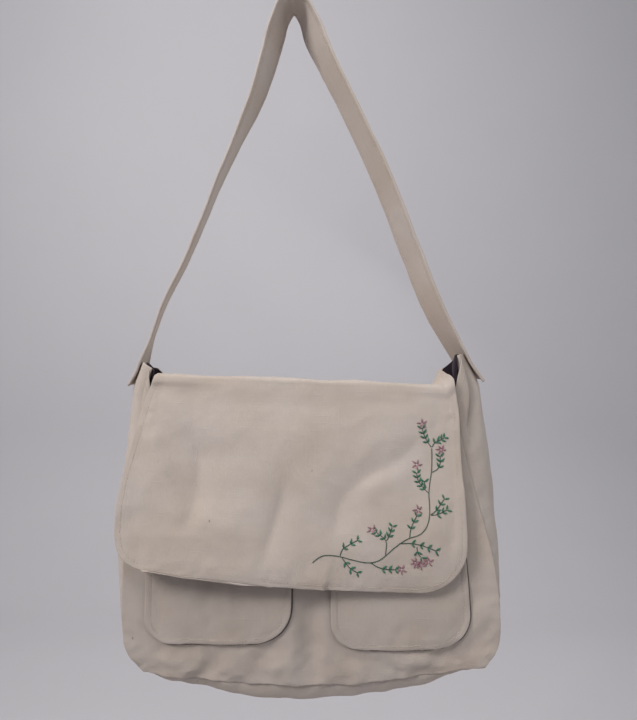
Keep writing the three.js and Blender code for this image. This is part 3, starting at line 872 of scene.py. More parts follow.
def row_down(fall):
    """One row of the flap where it falls down the front."""
    share = fall / FLAP_LONGEST
    left = read(FLAP_DOWN, "left", fall) + corner_inset(FLAP_CORNERS[0], FLAP_LONGEST - fall)
    right = read(FLAP_DOWN, "right", fall) - corner_inset(FLAP_CORNERS[1], FLAP_LONGEST - fall)
    x = mix(left, right, FLAP_ACROSS)
    hinge = flap_seam(mix(FLAP_OVER["left"][0], FLAP_OVER["right"][0], FLAP_ACROSS))
    ear = TURNED_UP * FLAP_EAR[0] * max(0, 1 - fall / FLAP_EAR_REACH)
    z = mix(hinge, hanging_edge(FLAP_FOOT, FLAP_ACROSS), share) + ear
    standoff = read(FLAP_DOWN, "standoff", fall) + FLAP_LIFT * (1 - FLAP_ACROSS) * share**2
    return points(x, smooth_front_depth(x, z) - standoff + creased(FLAP_CREASES, x, z), z)


print("middle of the flap's foot", row_down(FLAP_LONGEST)[len(FLAP_ACROSS) // 2].round(1))

# %% The flap's smooth surface
ROLL_ROWS = 84
FLAP_FOOT_ROWS = 16
FLAP_FOOT_BAND = 15.0


def resampled(grid, count):
    """The same cloth with evenly spaced rows on a smooth curve through the given rows."""
    steps = np.linalg.norm(np.diff(grid, axis=0), axis=2).mean(axis=1)
    along = np.concatenate([[0], np.cumsum(steps)])
    tangents = np.gradient(grid, along, axis=0)
    place = np.linspace(0, along[-1], count)
    i = np.clip(np.searchsorted(along, place, side="right") - 1, 0, len(along) - 2)
    width = (along[i + 1] - along[i])[:, None, None]
    t = (place - along[i])[:, None, None] / width
    return eased(grid[i], grid[i + 1], tangents[i], tangents[i + 1], width, t)


def flap_surface():
    """The flap's middle surface before it is folded: rolled over the mouth, then down the front."""
    roll = [row_over(*row) for row in zip(*FLAP_OVER.values())]
    roll += [row_down(fall) for fall in np.arange(8.0, 52.0, 8)]
    foot = FLAP_LONGEST - np.linspace(np.sqrt(FLAP_FOOT_BAND), 0, FLAP_FOOT_ROWS) ** 2
    lower = [row_down(fall) for fall in np.concatenate([np.arange(50.2, 184.0, 2.6), foot])]
    return np.concatenate([resampled(np.array(roll), ROLL_ROWS), lower])


flap_smooth = flap_surface()
print("flap grid", flap_smooth.shape[:2])

# %% Folds of the flap
FLAP_FOLDS = [
    ((-136, -486), (-106, -554), 10, -2.8),
    ((-80, -560), (-56, -566), 8, -1.2),
    ((80, -532), (108, -514), 12, -1.8),
    ((-150, -560), (-140, -600), 9, 1.2),
    ((110, -600), (150, -585), 12, 1.0),
    ((-60, -450), (-30, -500), 26, -1.6),
]
FLAP_VALLEYS = [((-140, -460), (-118, -482), 9, 1.2)]
# Valleys with unlike sides: stops (x, z, strength), widths of the two sides, softness of the line, depth.
FLAP_LEANING = [
    (
        [(-99, -436, 0.1), (-98, -470, 0.4), (-90, -505, 1), (-91, -540, 0.9), (-100, -575, 0.1)],
        (28, 48), 1.5, 12.5,
    ),
    (
        [(170, -446, 0), (140, -476, 0.45), (112, -504, 0.9), (74, -523, 1), (52, -541, 1), (42, -590, 0.3)],
        (28, 75), 3.5, 12,
    ),
    ([(-2, -521, 0.4), (-14, -566, 1), (-26, -612, 0.1)], (12, 14), 1.2, 5.5),
]


def leaning(valleys, x, z):
    """Depth at places in the front view of valleys whose two sides differ."""
    total = np.zeros(np.broadcast(x, z).shape)
    for stops, widths, soft, depth in valleys:
        apart = np.full(total.shape, np.inf)
        width = np.ones(total.shape)
        for start, end in zip(stops[:-1], stops[1:]):
            across, above, run = from_run(x, z, start, end)
            nearer = np.hypot(across, above) < apart
            apart = np.where(nearer, np.hypot(across, above), apart)
            width = np.where(nearer, np.where(above * run[0] - across * run[1] < 0, *widths), width)
        _, heights, strengths = zip(*stops)
        strength = read({"down": np.negative(heights), "strength": strengths}, "strength", -z)
        total = total + depth * strength * np.exp(-(np.hypot(apart, soft) - soft) / width)
    return total


print("deepest fold", leaning(FLAP_LEANING, flap_smooth[..., 0], flap_smooth[..., 2]).max().round(1), "mm")

# %% Flap
FLAP_CLOTH = 2.0
FLAP_HEM = 4.5
# Least room between the flap's middle and the front panel's face: above the pockets, and over them.
FLAP_CLEAR = (2.6, 7.0)
CLEAR_DOWN = (535, 552)
CLEAR_SOFT = 0.6


def flap_cloth(grid):
    """The flap's middle surface with its folds and hem, its directions and its wear."""
    x, z = grid[..., 0], grid[..., 2]
    distance, along = from_border(grid, SEWN_SIDES)
    across, down = on_cloth(grid)
    outward = -square_to(grid)
    height = -creased(FLAP_FOLDS, x, z) - creased(FLAP_VALLEYS, x, z, sharp=True)
    height -= leaning(FLAP_LEANING, x, z)
    height += 1.1 * crumples(across, down, 85, 91) + 0.5 * crumples(across, down, 34, 92)
    height += 0.14 * waves(across, down, 10, 93)
    near_hem = np.exp(-((distance / 17) ** 2)) * np.clip(distance / 12, 0, 1)
    height += 1.1 * waves(across, 0.2 * down, 10, 95) * near_hem
    height = height * np.clip(down / 40, 0, 1) + hem_relief(distance, along, FLAP_HEM, 0.0, 0.1, 94)
    made = raised(grid, outward, height)
    clear = np.interp(-made[..., 2], CLEAR_DOWN, FLAP_CLEAR)
    too_deep = made[..., 1] + clear - smooth_front_depth(made[..., 0], made[..., 2])
    in_front = np.clip((-58 - made[..., 1]) / 6, 0, 1)
    made[..., 1] -= in_front * CLEAR_SOFT * np.log1p(np.exp(np.clip(too_deep / CLEAR_SOFT, -30, 30)))
    return made, outward, worn_edge(distance, 3.0)


flap_grid, flap_outward, flap_worn = flap_cloth(flap_smooth)
flap_canvas = cloth_piece("flap_canvas", flap_grid, flap_outward, FLAP_CLOTH, flap_worn)

# %% [markdown]
# ## The strap
# One long band of canvas, folded in four and stitched along both edges. It leaves the outside of one gusset,
# goes over the point it hangs by and comes down to the other, turning a little on the way. Straps and webbing
# are laid directly along a curve, because a simulation would only wrinkle them.

# %% Sewn ends of the strap
STRAP_CLOTH = 3.0
STRAP_WIDTH = 42.0
# The band between its rounded edges, and the shares across it at which it is first drawn.
BAND = STRAP_WIDTH - STRAP_CLOTH
BAND_SHARES = np.linspace(-1, 1, 5)
TAB_DOWN = [0.06, 0.042, 0.022, 0.006]
TAB_FLARE = [3.0, 1.2, 0.0, 0.0]
TAB_Y = -23.0
TAB_GAP = 1.3
TAB_STEP = 0.004
# So narrow a tuck is none at all: the strap's ends lie over the gussets' tucks.
NO_TUCK = 1e-6


def tab_rows(side):
    """The strap's sewn end on the outside of a gusset, foot first."""

    def on_gusset(g, v):
        return gusset(side, g, np.full(len(g), v), NO_TUCK)

    rows = []
    for v, flare in zip(TAB_DOWN, TAB_FLARE):
        near, far = front(0.0, v)[1], back(0.0, v)[1]
        g = (TAB_Y + BAND_SHARES * BAND / 2 - near) / (far - near)
        down = on_gusset(g, v + TAB_STEP) - on_gusset(g, v - TAB_STEP)
        across = on_gusset(g + TAB_STEP, v) - on_gusset(g - TAB_STEP, v)
        outward = unit(np.cross(across, down)) * (1 if side == "left" else -1)
        rows.append(on_gusset(g, v) + outward * (STRAP_CLOTH / 2 + TAB_GAP + flare))
    return rows


print("left tab's foot", tab_rows("left")[0][2].round(1))

# %% The strap's run
STRAP_ROUTE = {
    "x": [-155.5, -149, -114, -83, -66, -44, -28, -18, -10, 0, 10, 20, 36, 60, 101, 131, 162],
    "y": [-22.5, -22, -16, -11, -8, -4, -1, 0, 0, 0, 0, 0, -1, -4, -11, -16, -22],
    "z": [-384, -363, -285, -205, -165, -113, -63, -27, -6, 1.5, -6, -27, -63, -113, -205, -285, -363],
    "turn": [13, 13, 10, 7, 3, -9, -17, -18, -12, 0, 14, 26, 22, 18, 20, 21, 19],
}
STRAP_ROWS = 330


def strap_cloth():
    """The strap's middle surface and directions, from the left tab to the right one."""
    start = tab_rows("left")
    end = tab_rows("right")[::-1]
    stops = np.stack([STRAP_ROUTE[axis] for axis in "xyz"], axis=1).astype(float)
    turns = np.radians(STRAP_ROUTE["turn"])
    widths = np.stack([-np.sin(turns), np.cos(turns), 0 * turns], axis=1)
    tangents = unit(np.gradient(np.concatenate([[start[-1][2]], stops, [end[0][2]]]), axis=0)[1:-1])
    widths = unit(widths - tangents * (widths * tangents).sum(axis=1, keepdims=True))
    band = [stop + BAND_SHARES[:, None] * width * BAND / 2 for stop, width in zip(stops, widths)]
    rough = resampled(np.array(start + band + end), STRAP_ROWS)
    gaps = len(BAND_SHARES) - 1
    spots = cut_up(BAND, fine=0.9, coarse=2.4, border=6) * gaps
    i = np.clip(spots.astype(int), 0, gaps - 1)
    grid = mix(rough[:, i], rough[:, i + 1], (spots - i)[None, :, None])
    outward = square_to(grid)
    across, along = on_cloth(grid)
    height = 0.5 * waves(across * 0.4, along, 48, 101) + 0.22 * waves(across, along, 15, 102)
    free = np.clip(np.minimum(along, along.max() - along) / 40 - 0.4, 0, 1)
    return raised(grid, outward, height * free), outward


strap_grid, strap_outward = strap_cloth()
print("strap length", round(float(lengths_along(strap_grid.mean(axis=1))[-1])), "mm")

# %% Strap
STRAP_HEM = 4.0
strap_edge, strap_along = from_border(strap_grid, ("left",))
strap_edge = np.minimum(strap_edge, BAND - strap_edge)
strap_groove = np.exp(-(((strap_edge - STRAP_HEM) / 1.1) ** 2))
strap_pucker = ripples(strap_along, 6.0, 103) * np.exp(-(((strap_edge - STRAP_HEM) / 5) ** 2))
strap_thick = STRAP_CLOTH * (1 - 0.22 * strap_groove) + 0.28 * strap_pucker
strap_worn = worn_edge(strap_edge, 2.5)
strap_canvas = cloth_piece("strap_canvas", strap_grid, strap_outward, strap_thick, strap_worn)

# %% [markdown]
# ## Stitches
# Every stitch is a small plump piece of thread that dips into the cloth at both ends. One function builds all
# of them at once from their two ends and the cloth's direction, for seams and embroidery alike. Stranded
# cotton is two such strands twisted together.

# %% Threads
STITCH_ALONG = np.array([0.0, 0.18, 0.5, 0.82, 1.0])
STITCH_HEIGHT = np.array([-0.7, 0.35, 0.65, 0.35, -0.7])
STITCH_PLUMP = np.array([0.4, 0.9, 1.0, 0.9, 0.4])
STITCH_SIDES = 6
STITCH_TWIST = 2.2
# A strand's own radius, and its distance from the middle, as shares of a twisted thread's radius.
STRAND_RADIUS = 0.62
STRAND_OFFSET = 0.5


def stitches(name, starts, ends, normals, radius, strands=1):
    """One piece of thread geometry: a bowed stitch between each pair of places on the cloth."""
    starts, ends, normals = (np.asarray(a, float) for a in (starts, ends, normals))
    along = unit(ends - starts)
    up = unit(normals - along * (normals * along).sum(axis=1, keepdims=True))
    side = np.cross(along, up)
    line = starts[:, None] + (ends - starts)[:, None] * STITCH_ALONG[None, :, None]
    turn = np.arange(STITCH_SIDES) * 2 * np.pi / STITCH_SIDES
    thick = radius if strands == 1 else radius * STRAND_RADIUS
    offset = 0.0 if strands == 1 else radius * STRAND_OFFSET
    all_verts = []
    for strand in range(strands):
        lead = strand * 2 * np.pi / strands + STITCH_TWIST * STITCH_ALONG
        rise = STITCH_HEIGHT * radius + offset * np.sin(lead) * STITCH_PLUMP
        sway = offset * np.cos(lead) * STITCH_PLUMP
        rise = rise[:, None] + (STITCH_PLUMP * thick)[:, None] * np.sin(turn)
        sway = sway[:, None] + (STITCH_PLUMP * thick)[:, None] * np.cos(turn)
        verts = line[:, :, None] + up[:, None, None] * rise[None, :, :, None]
        all_verts.append(verts + side[:, None, None] * sway[None, :, :, None])
    verts = np.concatenate(all_verts)
    rings = len(STITCH_ALONG)
    tube = tube_faces(rings, STITCH_SIDES)
    tube.append(list(range(STITCH_SIDES))[::-1])
    tube.append([(rings - 1) * STITCH_SIDES + k for k in range(STITCH_SIDES)])
    faces = [[i + n * rings * STITCH_SIDES for i in face] for n in range(len(verts)) for face in tube]
    made = make_mesh(name, verts.reshape(-1, 3), faces)
    print(name, len(verts), "threads")
    return made


# %% Lines of stitches
STITCH_PITCH = 3.3
STITCH_LENGTH = 2.5
SMOOTHED = 9


def inset_line(grid, outward, sides, inset):
    """A line on the cloth a little way in from some of its sides."""
    line, _ = border_of(grid, sides)
    places = grid.reshape(-1, 3)
    heading = unit(np.gradient(line, axis=0))
    even_out = np.ones(SMOOTHED) / SMOOTHED
    heading = unit(np.array([np.convolve(heading[:, i], even_out, "same") for i in range(3)]).T)
    nearest = np.array([((places - spot) ** 2).sum(axis=1).argmin() for spot in line])
    inward = unit(np.cross(outward.reshape(-1, 3)[nearest], heading))
    if ((places.mean(axis=0) - line) * inward).sum(axis=1).mean() < 0:
        inward = -inward
    return line + inward * inset


def sewn(line, tree, lift):
    """Ends and directions of the stitches along a line laid on a cloth, in millimetres."""
    along = lengths_along(line)
    first = np.arange(STITCH_PITCH, along[-1] - STITCH_PITCH, STITCH_PITCH)

    def lay(spots):
        found = [tree.find_nearest(Vector(p * MM)) for p in at_lengths(line, along, spots)]
        return np.array([f[0] for f in found]) / MM, np.array([f[1] for f in found])

    starts, start_normals = lay(first)
    ends, end_normals = lay(first + STITCH_LENGTH)
    normals = unit(start_normals + end_normals)
    return starts + normals * lift, ends + normals * lift, normals


def joined(rows):
    """Several sets of stitches as one."""
    return [np.concatenate(part) for part in zip(*rows)]


print("stitches in 100 mm", round(100 / STITCH_PITCH))

# %% [markdown]
# ## Seams and hems
# A line of stitches follows each hem a few millimetres in from the edge. It goes round the flap and the
# pockets, along both edges and both faces of the strap, and along the mouth.

# %% Stitched seams and hems
SEAM_THREAD = 0.32
SEAM_LIFT = 0.05
FLAP_THREAD = 0.27
FLAP_THREAD_LIFT = 0.02
POCKET_TOP_HEM = 12.0
MOUTH_HEM = 6.0
flap_tree = tree_of(flap_canvas)
flap_line = inset_line(flap_grid + flap_outward * FLAP_CLOTH / 2, flap_outward, SEWN_SIDES, FLAP_HEM)
flap_stitches = stitches("flap_stitches", *sewn(flap_line, flap_tree, FLAP_THREAD_LIFT), FLAP_THREAD)

pocket_rows = []
for piece, grid, outward in (pocket_left, pocket_right):
    for sides, hem in ((SEWN_SIDES, POCKET_HEM), (("top",), POCKET_TOP_HEM)):
        line = inset_line(grid + outward * POCKET_CLOTH / 2, outward, sides, hem)
        pocket_rows.append(sewn(line, tree_of(piece), SEAM_LIFT))
pocket_stitches = stitches("pocket_stitches", *joined(pocket_rows), SEAM_THREAD)

strap_tree = tree_of(strap_canvas)
strap_rows = []
for face in (1, -1):
    surface = strap_grid + face * strap_outward * (strap_thick / 2)[..., None]
    for side in ("left", "right"):
        line = inset_line(surface, face * strap_outward, (side,), STRAP_HEM)
        strap_rows.append(sewn(line, strap_tree, SEAM_LIFT))
strap_stitches = stitches("strap_stitches", *joined(strap_rows), SEAM_THREAD)

body_rows = []
for piece, grid, outward in (
    (front_canvas, front_grid, front_outward),
    (back_canvas, back_grid, back_outward),
    (gusset_left_canvas, left_grid, left_outward),
    (gusset_right_canvas, right_grid, right_outward),
):
    line = inset_line(grid, outward, ("top",), MOUTH_HEM)
    body_rows.append(sewn(line, tree_of(piece), SEAM_LIFT))
body_stitches = stitches("body_stitches", *joined(body_rows), SEAM_THREAD)

# %% [markdown]
# ## The embroidered vine
# A common flowering-vine sprig grows up the flap's lower right corner: a stem in stem stitch, short V-shaped
# leaf pairs, and small stars of five or six straight stitches. Its lines were read off the picture, so each
# point goes from the camera's place along its sight line until it meets the flap, and lies there.

# %% Lines of the vine
VINE_STEM = [
    (312, 563), (316, 559.5), (322.5, 555.8), (331, 555.4), (340, 556.6), (348, 558.8), (356, 560.8),
    (363, 562.2), (370, 562.8), (378.6, 560.7), (385, 556.2), (392.6, 549.4), (400.3, 543.4), (409.4, 538.2),
    (419.3, 535), (424, 531), (427.3, 525.6), (429.4, 516.5), (429.4, 504), (428.8, 492.6), (429.8, 482.8),
    (431.4, 471.6), (431.8, 459), (431.6, 447.6),
]
# Each sprig: its line, how many leaf pairs it has, where the first one sits, and the flower it may end in.
SPRIGS = [
    ([(340, 556), (342.2, 549.4), (348.4, 545.2), (358, 540)], 3, 0.35, None),
    ([(342, 557.6), (345, 562), (349.6, 568), (358, 573)], 3, 0.25, None),
    ([(371, 562.8), (377.4, 567), (384.2, 569), (396, 569.6)], 3, 0.48, (401.6, 569.4)),
    ([(385.2, 556), (386, 549.4), (386.4, 542), (380.6, 535.4), (375.8, 532)], 3, 0.62, (372.2, 529.8)),
    ([(386.4, 541), (389.4, 535), (392.2, 526.4)], 3, 0.3, None),
    ([(400.6, 543.6), (411, 543.4), (420.6, 545.2), (430.4, 548.6), (437, 551.4)], 4, 0.3, None),
    ([(417, 546.6), (417.8, 553.8), (421.6, 558)], 2, 0.4, (415.2, 562.8)),
    ([(409.6, 538), (410.8, 528.4), (414.2, 520.8), (417, 515.4)], 3, 0.38, (418, 510)),
    ([(430.2, 515.2), (436, 510.8), (440.4, 504.6), (444.6, 498.4)], 3, 0.34, None),
    ([(430.8, 515.4), (438, 514.4), (447.4, 509.4)], 3, 0.34, None),
    ([(428.8, 493.4), (422, 486.4), (417.2, 478.6), (416.6, 472.6)], 5, 0.22, (416.6, 464.6)),
    ([(423.8, 488), (424.4, 480.4)], 1, 0.75, None),
    ([(431.8, 472.4), (438, 468.8), (440.2, 463), (439.8, 456)], 3, 0.42, (441, 449.8)),
    ([(431.6, 447.6), (427, 441.4), (423.6, 434), (422, 428)], 4, 0.28, (421.8, 423.8)),
    ([(431.8, 447.4), (435, 442), (440.4, 440), (444.6, 437.2)], 4, 0.3, None),
]
EXTRA_FLOWERS = [(421, 564.6), (428.4, 561.4)]
FLOWERS = [sprig[3] for sprig in SPRIGS if sprig[3]] + EXTRA_FLOWERS
print(len(SPRIGS), "sprigs and", len(FLOWERS), "flowers")

# %% From the picture to the flap


def on_flap(pixel):
    """The place on the flap that shows at a pixel, in millimetres, and the cloth's direction there."""
    sight = Vector(((pixel[0] - IMAGE[0] / 2) / FOCAL, 1.0, (IMAGE[1] / 2 - pixel[1]) / FOCAL)).normalized()
    spot, normal, _, _ = flap_tree.ray_cast(CAMERA_PLACE, sight)
    return np.array(spot) / MM, np.array(normal)


def straight_stitches(pairs):
    """Starts, ends and directions on the flap of stitches given by pairs of pixels."""
    starts, start_normals = zip(*(on_flap(start) for start, _ in pairs))
    ends, end_normals = zip(*(on_flap(end) for _, end in pairs))
    return starts, ends, unit(np.add(start_normals, end_normals))


def smooth_line(stops, step):
    """Points about one step apart along a smooth line through the stops."""
    line = np.array(stops, float)
    return resampled(line[:, None, :], max(3, round(lengths_along(line)[-1] / step) + 1))[:, 0]


def aimed(angle):
    """The direction at an angle in the picture, and the direction to its side."""
    return np.array([np.cos(angle), np.sin(angle)]), np.array([-np.sin(angle), np.cos(angle)])


print("stem's foot", on_flap(VINE_STEM[0])[0].round(1))

# %% Stem, leaves and flowers
STEM_STITCH = 2.0
LEAF_LENGTH = 6.0
LEAF_TURN = 0.8
PETAL_LENGTH = 5.9
BESIDE = 0.5
STEM_THREAD, LEAF_THREAD, PETAL_THREAD = 0.42, 0.57, 0.62
rng = np.random.default_rng(7)
stem_pairs = []
for line in [VINE_STEM] + [sprig[0] for sprig in SPRIGS]:
    dots = smooth_line(line, STEM_STITCH)
    stem_pairs += list(zip(dots[:-2], dots[2:]))
leaf_pairs = []
for line, count, first, _ in SPRIGS:
    dots = smooth_line(line, 0.5)
    for share in np.linspace(first, 0.97, count):
        i = min(int(share * (len(dots) - 1)), len(dots) - 2)
        heading = dots[i + 1] - dots[i]
        angle = np.arctan2(heading[1], heading[0])
        for turn in (-1, 1):
            ray, side = aimed(angle + turn * (LEAF_TURN + rng.uniform(-0.12, 0.12)))
            tip = dots[i] + (LEAF_LENGTH + rng.uniform(-0.6, 0.6)) * ray
            leaf_pairs.append((dots[i], tip))
            for off in (-BESIDE * side, BESIDE * side):
                leaf_pairs.append((mix(dots[i], tip, 0.2) + 0.8 * off, mix(dots[i], tip, 0.8) + off))
petal_pairs = []
for centre in np.array(FLOWERS):
    petals = int(rng.integers(5, 7))
    lean = rng.uniform(0, 2 * np.pi)
    for k in range(petals):
        ray, side = aimed(lean + 2 * np.pi * k / petals + rng.uniform(-0.15, 0.15))
        reach = PETAL_LENGTH + rng.uniform(-0.5, 0.5)
        off = BESIDE * side
        petal_pairs.append((centre + 0.4 * ray, centre + reach * ray))
        petal_pairs.append((centre + 0.9 * ray + off, centre + 0.85 * reach * ray + off))
vine_stem = stitches("vine_stem", *straight_stitches(stem_pairs), STEM_THREAD, strands=2)
vine_leaves = stitches("vine_leaves", *straight_stitches(leaf_pairs), LEAF_THREAD, strands=2)
vine_flowers = stitches("vine_flowers", *straight_stitches(petal_pairs), PETAL_THREAD, strands=2)

# %% [markdown]
# ## Writing finishes as sums
# A finish is a small program of nodes. The class below wraps one socket and overloads Python's operators, so
# `1 - mask` or `0.4 * weave + fleck` adds the Math nodes by itself. Every other node comes from one method,
# which sets a node's settings first and then its sockets.

# %% Shader sums


def math_node(operation, turned=False):
    """A method that adds one Math node, with its two values turned round if asked."""

    def method(self, *others):
        values = (self, *others)[::-1] if turned else (self, *others)
        return self.finish.node("ShaderNodeMath", {"operation": operation}, dict(enumerate(values)))

    return method


class Wire:
    """One output of a finish's nodes, which can stand in a Python sum."""

    def __init__(self, finish, socket):
        self.finish = finish
        self.socket = socket

    __add__ = math_node("ADD")
    __radd__ = math_node("ADD", turned=True)
    __sub__ = math_node("SUBTRACT")
    __rsub__ = math_node("SUBTRACT", turned=True)
    __mul__ = math_node("MULTIPLY")
    __rmul__ = math_node("MULTIPLY", turned=True)
    __gt__ = math_node("GREATER_THAN")
    sine = math_node("SINE")
    size = math_node("ABSOLUTE")
    root = math_node("SQRT")
    at_least = math_node("MAXIMUM")

    def other(self, output):
        """Another output of the same node."""
        return Wire(self.finish, self.socket.node.outputs[output])

    def between(self, low, high):
        """From 0 at low to 1 at high, held there on both sides."""
        settings = {"clamp": True}
        return self.finish.node("ShaderNodeMapRange", settings, {0: self, 1: low, 2: high, 3: 0.0, 4: 1.0})


# %% Finishes


class Finish:
    """A material whose nodes are made one call at a time."""

    def __init__(self, name):
        self.material = bpy.data.materials.new(name)
        self.material.use_nodes = True
        self.tree = self.material.node_tree
        self.tree.nodes.clear()

    def node(self, kind, settings=None, sockets=None, result=0):
        """A node with its settings set first, then its sockets' values or links; gives one of its outputs."""
        made = self.tree.nodes.new(kind)
        for key, value in (settings or {}).items():
            setattr(made, key, value)
        for key, value in (sockets or {}).items():
            if isinstance(value, Wire):
                self.tree.links.new(value.socket, made.inputs[key])
            else:
                made.inputs[key].default_value = value
        return Wire(self, made.outputs[result]) if made.outputs else None

    def place(self):
        """The place on the object, in metres."""
        return self.node("ShaderNodeTexCoord", result=3)

    def colour_mix(self, share, first, second):
        """A colour a share of the way from the first to the second."""
        return self.node("ShaderNodeMix", {"data_type": "RGBA"}, {0: share, 6: first, 7: second}, 2)

    def stretched(self, place, scale):
        """A place scaled along each axis."""
        return self.node("ShaderNodeVectorMath", {"operation": "MULTIPLY"}, {0: place, 1: scale})

    def noise(self, place, scale, detail=2.0):
        """Smooth noise from 0 to 1 at a place."""
        return self.node("ShaderNodeTexNoise", {}, {"Vector": place, "Scale": scale, "Detail": detail})

    def weave(self, flat, thread):
        """The over and under of a plain weave: 1 on top of a thread, -1 where it dips."""
        across = self.node("ShaderNodeSeparateXYZ", {}, {0: flat})
        return (across * (np.pi / thread)).sine() * (across.other(1) * (np.pi / thread)).sine()

    def bump(self, height, distance, strength):
        """A surface direction tilted by a height."""
        return self.node("ShaderNodeBump", {}, {"Height": height, "Distance": distance, "Strength": strength})

    def surface(self, sockets):
        """The finish's shader and output."""
        shader = self.node("ShaderNodeBsdfPrincipled", {}, sockets)
        self.node("ShaderNodeOutputMaterial", {}, {"Surface": shader})
        return self.material


# %% [markdown]
# ## Canvas
# The cloth is undyed cotton in plain weave: cream, uneven, with thicker slubs running along both threads and
# brown flecks of seed. The weave lies on the flat cloth's own measures, so it bends with every fold. Turned
# edges hold grey dirt; the same value also paints shade below the flap and in the gussets' tucks.

# %% Painted shade along a pocket's edges


def pocket_edge_shade(f, cut):
    """1 on the line of painted shade along a pocket's right and lower edges, 0 elsewhere on the front."""
    split = f.node("ShaderNodeSeparateXYZ", {}, {0: f.place()})
    x = split * (1 / MM)
    z = split.other(2) * (1 / MM)
    down = (cut["top_z"] - z) * (1 / (cut["top_z"] - cut["foot_z"]))
    left = cut["top"][0] + (cut["foot"][0] - cut["top"][0]) * down
    right = cut["top"][1] + (cut["foot"][1] - cut["top"][1]) * down
    from_middle = x - (left + right) * 0.5
    corner = POCKET_CORNERS[0] + (POCKET_CORNERS[1] - POCKET_CORNERS[0]) * from_middle.between(-1.0, 1.0)
    beside = (from_middle.size() - (right - left) * 0.5 + corner).at_least(0.0)
    below = (cut["foot_z"] + corner - z).at_least(0.0)
    outside = (beside * beside + below * below).root() - corner
    line = outside.between(-2.0, -1.0) * (1 - outside.between(2.0, 2.9))
    return line * (x - left).between(10.0, 42.0) * (1 - (z - cut["top_z"]).between(0.0, 1.0))


# %% Canvas finish
CANVAS_TINT = (0.62, 0.54, 0.494)
CANVAS_THREAD = 0.00085
SEED_BROWN = (0.13, 0.075, 0.04, 1)
# Colour of the painted shade along the pockets' edges.
POCKET_EDGE_SHADE_COLOUR = (0.05, 0.035, 0.035, 1)
FLECK_RADIUS = 0.06


def shaded(tint, *shares):
    """A tint with a share left of each of its colours."""
    return (*(part * share for part, share in zip(tint, shares)), 1)


def flecks(f, flat):
    """1 on the brown flecks of seed in the cloth, less on the fainter ones."""
    cells = {"Vector": f.stretched(flat, (1.0, 0.7, 1.0)), "Scale": 52.0, "Randomness": 1.0}
    distance = f.node("ShaderNodeTexVoronoi", {}, cells)
    chosen = f.node("ShaderNodeSeparateColor", {}, {0: distance.other("Color")})
    inside = 1 - (distance * (1 / FLECK_RADIUS)).between(0.4, 1.0)
    return inside * (chosen > 0.66) * (0.25 + 0.75 * chosen.other(1))


def canvas_finish(name, tint, pockets=()):
    """Undyed cotton canvas in a tint, with a line of painted shade along the lower and right edges of any
    pockets sewn on it.
    """
    f = Finish(name)
    flat = f.node("ShaderNodeUVMap", {"uv_map": "flat_cloth"})
    weave = f.weave(flat, CANVAS_THREAD)
    slub_across = f.noise(f.stretched(flat, (26, 1150, 1)), 1.0, 1.0).between(0.60, 0.80)
    slub_down = f.noise(f.stretched(flat, (1150, 22, 1)), 1.0, 1.0).between(0.60, 0.80)
    mottle = f.noise(flat, 11.0, 3.0)
    grain = f.noise(flat, 260.0)
    # Dirt along the cloth's edges, with painted shade below the flap and in the gussets' tucks.
    wear_and_shade = f.node("ShaderNodeAttribute", {"attribute_name": "wear_and_shade"}, result=2)
    dirt_and_shade = wear_and_shade * (0.25 + 0.5 * f.noise(flat, 60.0))
    pale = (*(0.5 + 0.5 * part for part in tint), 1)
    colour = f.colour_mix(mottle.between(0.35, 0.68), (*tint, 1), shaded(tint, 0.90, 0.86, 0.80))
    colour = f.colour_mix(0.20 * slub_across + 0.20 * slub_down, colour, pale)
    colour = f.colour_mix(0.16 * grain.between(0.3, 0.8), colour, shaded(tint, 0.72, 0.69, 0.64))
    colour = f.colour_mix(0.10 - 0.10 * weave, colour, shaded(tint, 0.62, 0.58, 0.52))
    colour = f.colour_mix(0.75 * flecks(f, flat), colour, SEED_BROWN)
    colour = f.colour_mix(0.30 * dirt_and_shade, colour, shaded(tint, 0.6, 0.57, 0.55))
    # A thin dark line of painted shade along each pocket's lower and right edges.
    for cut in pockets:
        colour = f.colour_mix(0.85 * pocket_edge_shade(f, cut), colour, POCKET_EDGE_SHADE_COLOUR)
    height = 0.55 * weave + 0.8 * slub_across + 0.8 * slub_down + 0.5 * grain
    return f.surface({
        "Base Color": colour,
        "Roughness": 0.86 + 0.10 * grain,
        "Normal": f.bump(height, 0.00022, 0.75),
        "Specular IOR Level": 0.18,
        "Sheen Weight": 0.12,
        "Sheen Roughness": 0.6,
        "Sheen Tint": (1.0, 0.96, 0.9, 1),
    })


canvas = canvas_finish("undyed_canvas", CANVAS_TINT)
canvas_with_pocket_edge_shade = canvas_finish("canvas_with_pocket_edge_shade", CANVAS_TINT, POCKETS.values())
print("canvas nodes", len(canvas.node_tree.nodes), "and", len(canvas_with_pocket_edge_shade.node_tree.nodes))

# %% [markdown]
# ## Lining and threads
# The lining is thin dark cotton, almost black, with a purple cast. The embroidery cotton has a soft shine
# along its twist, and each stitch differs a little in shade, as hand-dyed skeins do.

# %% Lining and thread finishes
LINING_THREAD = 0.0005


def lining_finish():
    """Dark purple-black cotton."""
    f = Finish("dark_lining")
    flat = f.node("ShaderNodeUVMap", {"uv_map": "flat_cloth"})
    weave = f.weave(flat, LINING_THREAD)
    mottle = f.noise(flat, 40.0, 3.0)
    colour = f.colour_mix(mottle.between(0.3, 0.7), (0.022, 0.013, 0.021, 1), (0.034, 0.02, 0.032, 1))
    colour = f.colour_mix(0.2 - 0.2 * weave, colour, (0.012, 0.007, 0.012, 1))
    return f.surface({
        "Base Color": colour,
        "Roughness": 0.8 + 0.1 * mottle,
        "Normal": f.bump(weave, 0.0001, 0.6),
        "Specular IOR Level": 0.2,
        "Sheen Weight": 0.1,
    })


